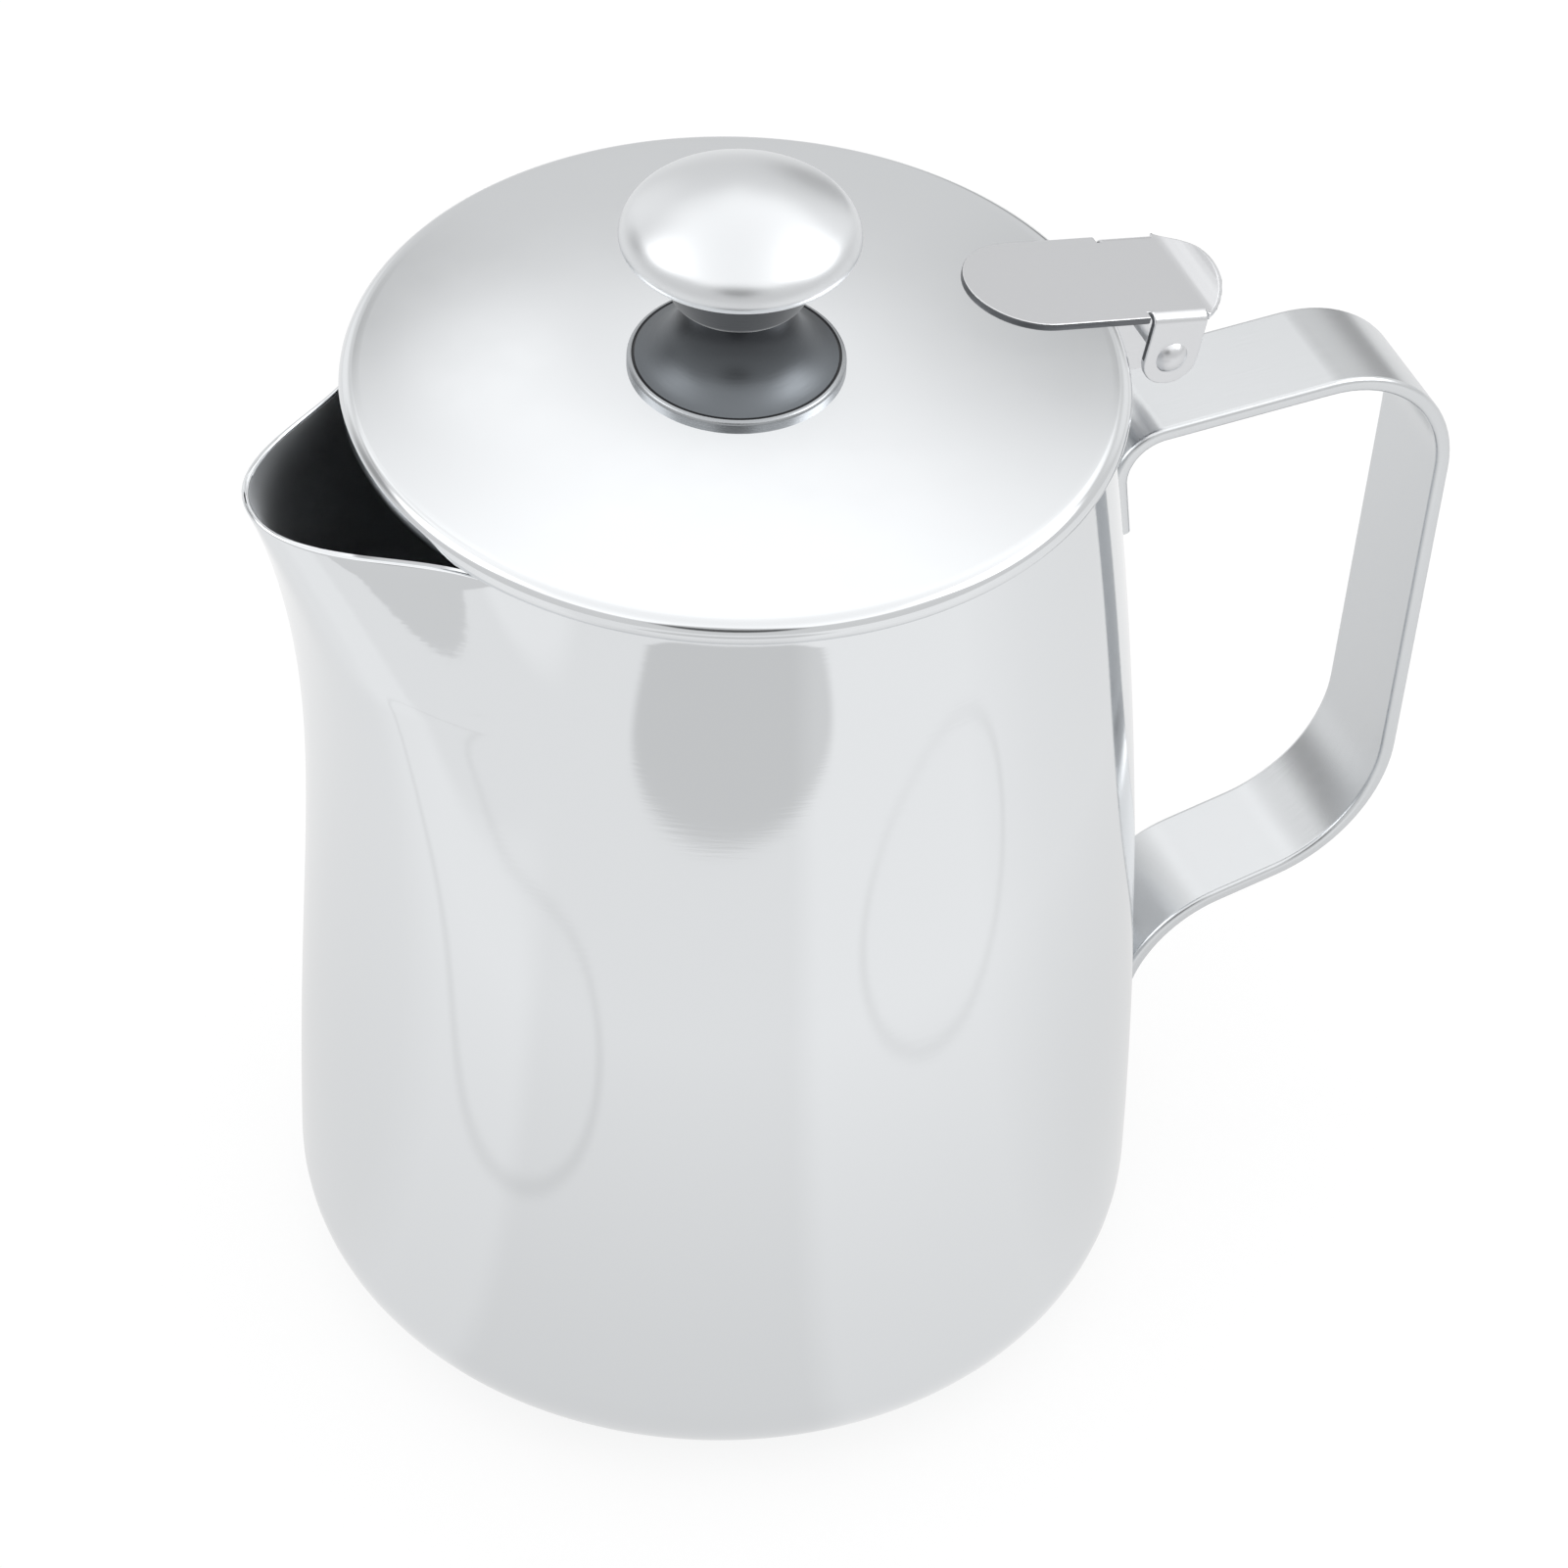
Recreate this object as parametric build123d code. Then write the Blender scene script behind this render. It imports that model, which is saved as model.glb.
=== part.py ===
from build123d import *
import math
import os

# Hot milk jug with a hinged lid, in millimetres.
# Origin at the centre of the base on the floor, +Z up, handle towards +X, spout towards -X.

# Jug body
WALL = 1.0
BODY_HEIGHT = 146.2
RIM_RADIUS = 49.3
BELLY_RADIUS = 58.8
BELLY_HEIGHT = 14.5
BASE_CORNER = 14.0
RIM_ROUND = 0.4
SECTION_POINTS = 72
PLAIN_SECTIONS = 5
SPOUT_SECTIONS = 16

# Spout
SPOUT_REACH = 18.8
SPOUT_DEPTH = 110.0
SPOUT_POWER = 3.5
SPOUT_SPREAD = math.radians(12.2)
SPOUT_FAN = 6.0

# Handle strap, bent in the XZ plane
STRAP_WIDTH = 17.4
STRAP_THICK = 2.2
STRAP_EDGE = 0.8
FOOT_SINK = 0.75
UPPER_RUN_DROP = 18.1
UPPER_FOOT_LENGTH = 15.4
UPPER_BEND = 6.5
UPPER_RUN_RISE = 1.6
GRIP_REACH = 45.8
GRIP_TOP_BEND = 18.0
GRIP_LEAN = 6.0
GRIP_LOW_BEND = 21.0
LOWER_RUN_RISE = 8.6
LOWER_BEND = 18.5
LOWER_FOOT_LENGTH = 24.3
LOWER_FOOT_DROP = 3.0

# Lid
GAP = 0.3
LID_OVERHANG = 2.7
LID_SHEET = 0.9
HEM_THICK = 3.8
HEM_WIDTH = 4.4
CROWN_HEIGHT = 0.8
CROWN_FLAT = 14.6

# Hinge
PIVOT_OUT = 7.0
PIVOT_DROP = 3.8
PIN_RADIUS = 1.6
PIN_RUNNING_FIT = 0.05
PIN_HEAD_RADIUS = 2.3
PIN_HEAD_HEIGHT = 1.2
BARREL_RADIUS = 3.2
WEB_THICK = 3.2
SADDLE_THICK = 1.6
SADDLE_DROP = 9.0

# Thumb plate, drawn level about the pivot and then sloped
PLATE_SHEET = 1.1
PLATE_SLOPE = 11.0
PLATE_HALF = 9.4
PLATE_UNDER = 5.7
PLATE_INNER = -27.8
PLATE_BEND_AT = 2.0
THUMB_LENGTH = 3.8
THUMB_RISE = 8.0
THUMB_CORNER = 3.2
EAR_HALF = 4.0
EAR_DROP = 4.2
EAR_ROUND = 3.8
EAR_OUTER = 9.6
EAR_FOLD = 1.5
NOTCH = 0.7

# Knob
RING_RADIUS = 14.4
RING_HEIGHT = 1.8
RING_ROUND = 0.6
KNOB_SHEET = 0.8
SKIRT_FOOT = 13.4
SKIRT_WAIST = 7.2
WAIST_HEIGHT = 11.5
BOWL_BOTTOM = 8.6
BOWL_TOP = 12.4
BOWL_ROUND = 2.4
CAP_UNDER = 20.0
CAP_RADIUS = 15.8
CAP_WIDEST = 21.4
CAP_SHOULDER = 13.6
CAP_SHOULDER_Z = 24.9
CAP_TOP = 28.9
CAP_LIP = 4.0
INSERT_RADIUS = 4.5
INSERT_FLANGE = 6.4
INSERT_FLANGE_THICK = 1.6
INSERT_LIFT = 0.2

# Knob fastening under the lid
SCREW_RADIUS = 2.5
SCREW_REACH = 9.0
SCREW_HEAD_RADIUS = 4.6
SCREW_HEAD = 2.8
SLOT_WIDTH = 1.2
SLOT_DEPTH = 1.4
FLAT_WASHER_RADIUS = 6.4
FLAT_WASHER_THICK = 1.0
SPRING_WASHER_RADIUS = 4.4
SPRING_WASHER_THICK = 1.2
SPRING_SPLIT = 1.0

# Derived levels and fits
WALL_RISE = BODY_HEIGHT - BELLY_HEIGHT
WALL_LEAN = BELLY_RADIUS - RIM_RADIUS
WALL_ARC = (WALL_RISE ** 2 + WALL_LEAN ** 2) / (2 * WALL_LEAN)
UPPER_RUN_Z = BODY_HEIGHT - UPPER_RUN_DROP
UPPER_FOOT_LOW = UPPER_RUN_Z - UPPER_FOOT_LENGTH
GRIP_TOP_X = BELLY_RADIUS + GRIP_REACH
GRIP_TOP_Z = UPPER_RUN_Z + UPPER_RUN_RISE
GRIP_LOW_X = GRIP_TOP_X - GRIP_LEAN
LOWER_FOOT_LOW = BELLY_HEIGHT - LOWER_FOOT_DROP
LOWER_RUN_Z = LOWER_FOOT_LOW + LOWER_FOOT_LENGTH
GRIP_LOW_Z = LOWER_RUN_Z + LOWER_RUN_RISE
LID_RADIUS = RIM_RADIUS + LID_OVERHANG
HEM_LOW = BODY_HEIGHT + GAP
HEM_TOP = HEM_LOW + HEM_THICK
CROWN = HEM_TOP + CROWN_HEIGHT
PIVOT_X = LID_RADIUS + PIVOT_OUT
PIVOT_Z = HEM_LOW - PIVOT_DROP
SADDLE_LOW = PIVOT_Z - SADDLE_DROP
EAR_INNER = EAR_OUTER - PLATE_SHEET
BARREL_HALF = EAR_INNER - GAP
BORE_RADIUS = PIN_RADIUS + PIN_RUNNING_FIT
UNDER_CROWN = CROWN - LID_SHEET


def turned(lines):
    """Solid of revolution about the jug's axis from lines drawn as radius and height."""
    outline = make_face(Curve() + lines)
    return revolve(Plane.XZ * outline, Axis.Z)


def wall_radius(z):
    """Outer radius of the plain wall, an upright arc that is vertical at the belly."""
    return BELLY_RADIUS - WALL_ARC + math.sqrt(WALL_ARC ** 2 - (z - BELLY_HEIGHT) ** 2)


def spout_reach(z):
    """How far the spout stands out of the plain wall at one height."""
    rise = max(0.0, 1.0 - (BODY_HEIGHT - z) / SPOUT_DEPTH)
    return SPOUT_REACH * rise ** SPOUT_POWER


def spout_spread(z):
    """Half angle of the spout at one height, which fans out below the lip."""
    return SPOUT_SPREAD * (1.0 + SPOUT_FAN * (BODY_HEIGHT - z) / SPOUT_DEPTH)


def body_section(z, inset):
    """One level outline of the body, moved inwards from the outer skin by the inset."""
    points = []
    spread = spout_spread(z)
    for step in range(SECTION_POINTS):
        turn = 2 * math.pi * step / SECTION_POINTS
        off_spout = math.pi - turn
        swell = spout_reach(z) * math.exp(-0.5 * (off_spout / spread) ** 2)
        slope = swell * off_spout / spread ** 2
        radius = wall_radius(z) + swell
        shrink = inset / math.hypot(radius, slope)
        x = radius * math.cos(turn) - shrink * (slope * math.sin(turn) + radius * math.cos(turn))
        y = radius * math.sin(turn) - shrink * (radius * math.sin(turn) - slope * math.cos(turn))
        points.append((x, y, z))
    return Face(Wire([Edge.make_spline([Vector(*p) for p in points], periodic=True)]))


def body_levels(low):
    """Section heights: wide steps on the plain wall, close steps on the spout."""
    spout_low = BODY_HEIGHT - SPOUT_DEPTH
    plain = [low + (spout_low - low) * n / PLAIN_SECTIONS for n in range(PLAIN_SECTIONS)]
    close = [spout_low + SPOUT_DEPTH * n / SPOUT_SECTIONS for n in range(SPOUT_SECTIONS + 1)]
    return plain + close


def body_block(inset, floor, corner):
    """Solid bounded by the skin at one inset, with a rounded bottom corner."""
    block = loft([body_section(z, inset) for z in body_levels(floor)])
    bottom = block.faces().sort_by(Axis.Z)[0]
    return fillet(bottom.edges(), corner)


def make_jug_body():
    outer = body_block(0.0, 0.0, BASE_CORNER)
    inner = body_block(WALL, WALL, BASE_CORNER - WALL)
    shell = outer - inner
    rim = shell.faces().sort_by(Axis.Z)[-1]
    return fillet(rim.edges(), RIM_ROUND)


def plain_block():
    """Solid inside the plain wall without the spout, the seat of everything welded on."""
    lines = [
        Line((0, 0), (wall_radius(0), 0)),
        ThreePointArc(
            (wall_radius(0), 0), (BELLY_RADIUS, BELLY_HEIGHT), (RIM_RADIUS, BODY_HEIGHT)
        ),
        Line((RIM_RADIUS, BODY_HEIGHT), (0, BODY_HEIGHT)),
        Line((0, BODY_HEIGHT), (0, 0)),
    ]
    return turned(lines)


def make_handle_strap(seat):
    path = FilletPolyline(
        (wall_radius(UPPER_FOOT_LOW) - FOOT_SINK + STRAP_THICK / 2, 0, UPPER_FOOT_LOW),
        (wall_radius(UPPER_RUN_Z) - FOOT_SINK + STRAP_THICK / 2, 0, UPPER_RUN_Z),
        (GRIP_TOP_X, 0, GRIP_TOP_Z),
        (GRIP_LOW_X, 0, GRIP_LOW_Z),
        (wall_radius(LOWER_RUN_Z) - FOOT_SINK + STRAP_THICK / 2, 0, LOWER_RUN_Z),
        (wall_radius(LOWER_FOOT_LOW) - FOOT_SINK + STRAP_THICK / 2, 0, LOWER_FOOT_LOW),
        radius=[UPPER_BEND, GRIP_TOP_BEND, GRIP_LOW_BEND, LOWER_BEND],
    )
    start = Plane(origin=path @ 0, x_dir=(0, 1, 0), z_dir=path % 0)
    strap = sweep(start * RectangleRounded(STRAP_WIDTH, STRAP_THICK, STRAP_EDGE), path=path)
    return strap - seat


def make_hinge_knuckle(seat):
    width = 2 * BARREL_HALF
    saddle_x = wall_radius(SADDLE_LOW) + SADDLE_THICK
    saddle_top = PIVOT_Z + WEB_THICK / 2
    saddle = Pos(saddle_x, 0, SADDLE_LOW) * Box(
        saddle_x - RIM_RADIUS + FOOT_SINK + WALL, width, saddle_top - SADDLE_LOW,
        align=(Align.MAX, Align.CENTER, Align.MIN),
    )
    web = Pos(PIVOT_X, 0, PIVOT_Z) * Box(
        PIVOT_X - RIM_RADIUS + WALL, width, WEB_THICK,
        align=(Align.MAX, Align.CENTER, Align.CENTER),
    )
    barrel = Pos(PIVOT_X, 0, PIVOT_Z) * Rot(90, 0, 0) * Cylinder(BARREL_RADIUS, width)
    bore = Pos(PIVOT_X, 0, PIVOT_Z) * Rot(90, 0, 0) * Cylinder(BORE_RADIUS, width)
    return saddle + web + barrel - seat - bore


def make_lid_dome():
    hem_round = HEM_THICK / 2
    shoulder_end = LID_RADIUS - hem_round
    hem_in = LID_RADIUS - HEM_WIDTH
    run = shoulder_end - CROWN_FLAT
    arc_radius = (run ** 2 + CROWN_HEIGHT ** 2) / (2 * CROWN_HEIGHT)
    under_radius = arc_radius - LID_SHEET
    under_drop = under_radius - math.sqrt(under_radius ** 2 - (hem_in - CROWN_FLAT) ** 2)
    start = Line((SCREW_RADIUS, CROWN), (CROWN_FLAT, CROWN))
    shoulder = TangentArc((CROWN_FLAT, CROWN), (shoulder_end, HEM_TOP), tangent=(1, 0))
    hem = ThreePointArc(
        (shoulder_end, HEM_TOP), (LID_RADIUS, HEM_LOW + hem_round), (shoulder_end, HEM_LOW)
    )
    seat = Line((shoulder_end, HEM_LOW), (hem_in, HEM_LOW))
    step = Line((hem_in, HEM_LOW), (hem_in, UNDER_CROWN - under_drop))
    under = TangentArc((CROWN_FLAT, UNDER_CROWN), (hem_in, UNDER_CROWN - under_drop), tangent=(1, 0))
    flat = Line((CROWN_FLAT, UNDER_CROWN), (SCREW_RADIUS, UNDER_CROWN))
    hole = Line((SCREW_RADIUS, UNDER_CROWN), (SCREW_RADIUS, CROWN))
    return turned([start, shoulder, hem, seat, step, under, flat, hole])


def make_thumb_plate(lid_dome):
    top = PLATE_UNDER + PLATE_SHEET
    inner_plan = Pos(PLATE_INNER + PLATE_HALF, 0) * Circle(PLATE_HALF)
    middle_plan = Pos((PLATE_INNER + PLATE_HALF + PLATE_BEND_AT) / 2, 0) * Rectangle(
        PLATE_BEND_AT - PLATE_INNER - PLATE_HALF, 2 * PLATE_HALF
    )
    blade = Pos(0, 0, PLATE_UNDER) * extrude(inner_plan + middle_plan, PLATE_SHEET)
    notches = Sketch()
    for side in (-1, 1):
        notches += Pos(-EAR_HALF - NOTCH / 2, side * PLATE_HALF) * SlotCenterToCenter(
            NOTCH, NOTCH, rotation=90
        )
    blade -= Pos(0, 0, PLATE_UNDER) * extrude(notches, PLATE_SHEET)
    thumb_plan = Rectangle(THUMB_LENGTH, 2 * PLATE_HALF, align=(Align.MIN, Align.CENTER))
    thumb_plan = fillet(thumb_plan.vertices().group_by(Axis.X)[-1], THUMB_CORNER)
    thumb = extrude(thumb_plan, PLATE_SHEET)
    blade += Pos(PLATE_BEND_AT, 0, PLATE_UNDER) * Rot(0, -THUMB_RISE, 0) * thumb
    channel = Pos(0, 0, -EAR_DROP) * Box(
        2 * EAR_HALF, 2 * EAR_OUTER, top + EAR_DROP, align=(Align.CENTER, Align.CENTER, Align.MIN)
    )
    channel = fillet(channel.edges().filter_by(Axis.X).group_by(Axis.Z)[-1], EAR_FOLD)
    channel = fillet(channel.edges().filter_by(Axis.Y).group_by(Axis.Z)[0], EAR_ROUND)
    room = Pos(0, 0, -EAR_DROP) * Box(
        2 * EAR_HALF, 2 * EAR_INNER, PLATE_UNDER + EAR_DROP,
        align=(Align.CENTER, Align.CENTER, Align.MIN),
    )
    ears = channel - room
    pin_holes = Rot(90, 0, 0) * Cylinder(PIN_RADIUS, 2 * EAR_OUTER)
    plate = blade + ears - pin_holes
    return Pos(PIVOT_X, 0, PIVOT_Z) * Rot(0, PLATE_SLOPE, 0) * plate - lid_dome


def make_hinge_pin():
    shank = Rot(90, 0, 0) * Cylinder(PIN_RADIUS, 2 * EAR_OUTER)
    ball = (PIN_HEAD_RADIUS ** 2 + PIN_HEAD_HEIGHT ** 2) / (2 * PIN_HEAD_HEIGHT)
    dome = Pos(0, 0, PIN_HEAD_HEIGHT - ball) * Sphere(ball)
    head = dome & Cylinder(PIN_HEAD_RADIUS, PIN_HEAD_HEIGHT, align=(Align.CENTER, Align.CENTER, Align.MIN))
    pin = shank
    for side in (-1, 1):
        pin += Pos(0, side * EAR_OUTER, 0) * Rot(-90 * side, 0, 0) * head
    return Pos(PIVOT_X, 0, PIVOT_Z) * pin


def ring(outer, inner, height):
    """Flat ring standing on the level plane at the axis."""
    disc = Cylinder(outer, height, align=(Align.CENTER, Align.CENTER, Align.MIN))
    return disc - Cylinder(inner, height, align=(Align.CENTER, Align.CENTER, Align.MIN))


def make_knob_base_ring():
    base = ring(RING_RADIUS, INSERT_RADIUS, RING_HEIGHT)
    rim = base.edges().filter_by(GeomType.CIRCLE).group_by(Axis.Z)[-1].sort_by(SortBy.RADIUS)[-1]
    return Pos(0, 0, CROWN) * fillet(rim, RING_ROUND)


def make_knob_skirt():
    rise = WAIST_HEIGHT - RING_HEIGHT
    spread = SKIRT_FOOT - SKIRT_WAIST
    flare = (spread ** 2 + rise ** 2) / (2 * spread)
    centre_x = SKIRT_WAIST + flare
    inner_flare = flare + KNOB_SHEET
    inner_foot = centre_x - math.sqrt(inner_flare ** 2 - rise ** 2)
    inner_waist = SKIRT_WAIST - KNOB_SHEET
    neck_z = WAIST_HEIGHT - KNOB_SHEET
    neck_drop = centre_x - math.sqrt(inner_flare ** 2 - KNOB_SHEET ** 2)
    lines = [
        TangentArc((SKIRT_WAIST, WAIST_HEIGHT), (SKIRT_FOOT, RING_HEIGHT), tangent=(0, -1)),
        Line((SKIRT_FOOT, RING_HEIGHT), (inner_foot, RING_HEIGHT)),
        ThreePointArc(
            (inner_foot, RING_HEIGHT),
            (centre_x - math.sqrt(inner_flare ** 2 - (rise / 2) ** 2), WAIST_HEIGHT - rise / 2),
            (neck_drop, neck_z),
        ),
        Line((neck_drop, neck_z), (INSERT_RADIUS, neck_z)),
        Line((INSERT_RADIUS, neck_z), (INSERT_RADIUS, WAIST_HEIGHT)),
        Line((INSERT_RADIUS, WAIST_HEIGHT), (SKIRT_WAIST, WAIST_HEIGHT)),
    ]
    return Pos(0, 0, CROWN) * turned(lines)


def make_knob_bowl():
    low = WAIST_HEIGHT
    lines = FilletPolyline(
        (INSERT_RADIUS, low),
        (BOWL_BOTTOM, low),
        (BOWL_TOP, CAP_UNDER),
        (BOWL_TOP - KNOB_SHEET, CAP_UNDER),
        (BOWL_BOTTOM - KNOB_SHEET, low + KNOB_SHEET),
        (INSERT_RADIUS, low + KNOB_SHEET),
        radius=[BOWL_ROUND, 0, 0, BOWL_ROUND - KNOB_SHEET],
    )
    close = Line((INSERT_RADIUS, low + KNOB_SHEET), (INSERT_RADIUS, low))
    return Pos(0, 0, CROWN) * turned([lines, close])


def make_knob_cap():
    crown_turn = 2 * math.atan2(CAP_TOP - CAP_SHOULDER_Z, CAP_SHOULDER)
    heading = (math.cos(crown_turn), -math.sin(crown_turn))
    shoulder = (CAP_SHOULDER, CAP_SHOULDER_Z)
    shoulder_in = (
        CAP_SHOULDER - KNOB_SHEET * math.sin(crown_turn),
        CAP_SHOULDER_Z - KNOB_SHEET * math.cos(crown_turn),
    )
    lip_in = BOWL_TOP - CAP_LIP
    lip_out = BOWL_TOP + CAP_LIP / 2
    lip_top = CAP_UNDER + KNOB_SHEET
    side_in = CAP_RADIUS - KNOB_SHEET
    lines = [
        TangentArc((0, CAP_TOP), shoulder, tangent=(1, 0)),
        TangentArc(shoulder, (CAP_RADIUS, CAP_WIDEST), tangent=heading),
        TangentArc((CAP_RADIUS, CAP_WIDEST), (lip_out, CAP_UNDER), tangent=(0, -1)),
        Line((lip_out, CAP_UNDER), (lip_in, CAP_UNDER)),
        Line((lip_in, CAP_UNDER), (lip_in, lip_top)),
        Line((lip_in, lip_top), (side_in, lip_top)),
        Line((side_in, lip_top), (side_in, CAP_WIDEST)),
        TangentArc(shoulder_in, (side_in, CAP_WIDEST), tangent=heading),
        TangentArc((0, CAP_TOP - KNOB_SHEET), shoulder_in, tangent=(1, 0)),
        Line((0, CAP_TOP - KNOB_SHEET), (0, CAP_TOP)),
    ]
    return Pos(0, 0, CROWN) * turned(lines)


def make_knob_insert():
    flange_low = WAIST_HEIGHT + KNOB_SHEET
    shank = Pos(0, 0, INSERT_LIFT) * ring(INSERT_RADIUS, SCREW_RADIUS, flange_low - INSERT_LIFT)
    flange = Pos(0, 0, flange_low) * ring(INSERT_FLANGE, SCREW_RADIUS, INSERT_FLANGE_THICK)
    return Pos(0, 0, CROWN) * (shank + flange)


def make_knob_flat_washer():
    low = UNDER_CROWN - FLAT_WASHER_THICK
    return Pos(0, 0, low) * ring(FLAT_WASHER_RADIUS, SCREW_RADIUS, FLAT_WASHER_THICK)


def make_knob_spring_washer():
    low = UNDER_CROWN - FLAT_WASHER_THICK - SPRING_WASHER_THICK
    washer = ring(SPRING_WASHER_RADIUS, SCREW_RADIUS, SPRING_WASHER_THICK)
    split = Box(SPRING_WASHER_RADIUS, SPRING_SPLIT, SPRING_WASHER_THICK,
                align=(Align.MIN, Align.CENTER, Align.MIN))
    return Pos(0, 0, low) * (washer - split)


def make_knob_screw():
    head_top = UNDER_CROWN - FLAT_WASHER_THICK - SPRING_WASHER_THICK
    head = Pos(0, 0, head_top) * Cylinder(
        SCREW_HEAD_RADIUS, SCREW_HEAD, align=(Align.CENTER, Align.CENTER, Align.MAX)
    )
    shank = Pos(0, 0, head_top) * Cylinder(
        SCREW_RADIUS, CROWN + SCREW_REACH - head_top, align=(Align.CENTER, Align.CENTER, Align.MIN)
    )
    slot = Pos(0, 0, head_top - SCREW_HEAD) * Box(
        2 * SCREW_HEAD_RADIUS, SLOT_WIDTH, SLOT_DEPTH, align=(Align.CENTER, Align.CENTER, Align.MIN)
    )
    return head + shank - slot


def main():
    seat = plain_block()
    lid_dome = make_lid_dome()
    nodes = {
        "jug_body": make_jug_body(),
        "handle_strap": make_handle_strap(seat),
        "hinge_knuckle": make_hinge_knuckle(seat),
        "lid_dome": lid_dome,
        "thumb_plate": make_thumb_plate(lid_dome),
        "hinge_pin": make_hinge_pin(),
        "knob_base_ring": make_knob_base_ring(),
        "knob_skirt": make_knob_skirt(),
        "knob_bowl": make_knob_bowl(),
        "knob_cap": make_knob_cap(),
        "knob_insert": make_knob_insert(),
        "knob_screw": make_knob_screw(),
        "knob_flat_washer": make_knob_flat_washer(),
        "knob_spring_washer": make_knob_spring_washer(),
    }
    os.makedirs("parts", exist_ok=True)
    for name, shape in nodes.items():
        export_step(shape, f"parts/{name}.step")


main()
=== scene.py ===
import logging
import math
from dataclasses import dataclass
from enum import Enum
from typing import Dict, List, Optional, Sequence, Tuple

import bmesh
import bpy
from mathutils import Matrix, Vector


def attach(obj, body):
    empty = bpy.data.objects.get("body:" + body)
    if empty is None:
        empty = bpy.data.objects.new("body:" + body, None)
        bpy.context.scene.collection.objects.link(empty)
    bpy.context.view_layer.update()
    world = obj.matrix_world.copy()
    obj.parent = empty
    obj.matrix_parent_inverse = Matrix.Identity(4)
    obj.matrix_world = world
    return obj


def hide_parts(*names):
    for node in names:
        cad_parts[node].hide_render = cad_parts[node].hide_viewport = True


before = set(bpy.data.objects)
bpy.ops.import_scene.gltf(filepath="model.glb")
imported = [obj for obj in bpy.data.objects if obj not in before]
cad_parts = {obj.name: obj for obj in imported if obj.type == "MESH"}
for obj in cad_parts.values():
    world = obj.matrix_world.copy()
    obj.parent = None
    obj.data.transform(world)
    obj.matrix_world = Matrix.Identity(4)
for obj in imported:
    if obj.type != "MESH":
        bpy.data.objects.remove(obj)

LOG = logging.getLogger("milk_jug")
MM = 0.001
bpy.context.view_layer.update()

Point = Tuple[float, float]
Mesh = bmesh.types.BMesh
Vert = bmesh.types.BMVert
Edge = bmesh.types.BMEdge
Edges = List[Edge]
Tree = bpy.types.NodeTree
Socket = bpy.types.NodeSocket
Piece = bpy.types.Object

# Points closer than this, in metres, are one point.
MERGE = 1e-6
# Places that differ by less than this, in metres, lie on one line.
SNAP = 1e-7
# Upright share of a normal above which a face counts as level.
LEVEL = 0.5
# Angles in degrees above which an edge shows sharp, on turned pieces and on bent strip.
TURNED_CREASE = 40.0
BENT_CREASE = 50.0
# Heights in millimetres of the rubbing marks and of the sheet's ripples, at full strength.
GRAIN_RELIEF = 0.1
RIPPLE_RELIEF = 1.0
# Octaves of the two noises, and how strongly their finer octaves count.
GRAIN_DETAIL = 4.0
GRAIN_BREAKUP = 0.6
RIPPLE_DETAIL = 2.0
RIPPLE_BREAKUP = 0.5


class Body(Enum):
    """Rigid bodies that pieces ride on."""

    JUG = "jug"
    LID = "lid"


class Slot(Enum):
    """Material slots of the record."""

    POLISHED = "polished_steel"
    SATIN = "satin_steel"
    TURNED = "turned_steel"
    FASTENER = "fastener_steel"


class Grain(Enum):
    """Direction in which a finish was rubbed, as the noise's stretch along X, Y and Z."""

    NONE = (1.0, 1.0, 1.0)
    ROUND = (0.06, 0.06, 1.0)
    ALONG = (0.06, 1.0, 0.06)


def linear(code: str) -> Tuple[float, float, float, float]:
    """Turn an sRGB hex value into linear colour.

    Args:
        code: Six hex digits with a leading hash.

    Returns:
        Linear red, green, blue and an alpha of one.
    """
    channels = [int(code[i:i + 2], 16) / 255 for i in (1, 3, 5)]
    red, green, blue = [c / 12.92 if c <= 0.04045 else ((c + 0.055) / 1.055) ** 2.4 for c in channels]
    return red, green, blue, 1.0


WHITE = linear("#FFFFFF")


def only(parts: Sequence, kind: type) -> List:
    """Return the parts of one kind among what a bmesh operator made."""
    return [part for part in parts if isinstance(part, kind)]


def add_node(tree: Tree, kind: str, settings: Optional[Dict] = None,
             links: Optional[Dict] = None) -> bpy.types.Node:
    """Add one node with its settings and incoming links.

    Args:
        tree: Node tree that takes the node.
        kind: Blender's type name of the node.
        settings: Attribute names, or input names and numbers, with their values.
        links: Input names or numbers with the output sockets that feed them.

    Returns:
        The new node.
    """
    node = tree.nodes.new(kind)
    for key, value in (settings or {}).items():
        if isinstance(key, str) and hasattr(node, key):
            setattr(node, key, value)
        else:
            node.inputs[key].default_value = value
    for key, socket in (links or {}).items():
        tree.links.new(socket, node.inputs[key])
    return node


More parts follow.
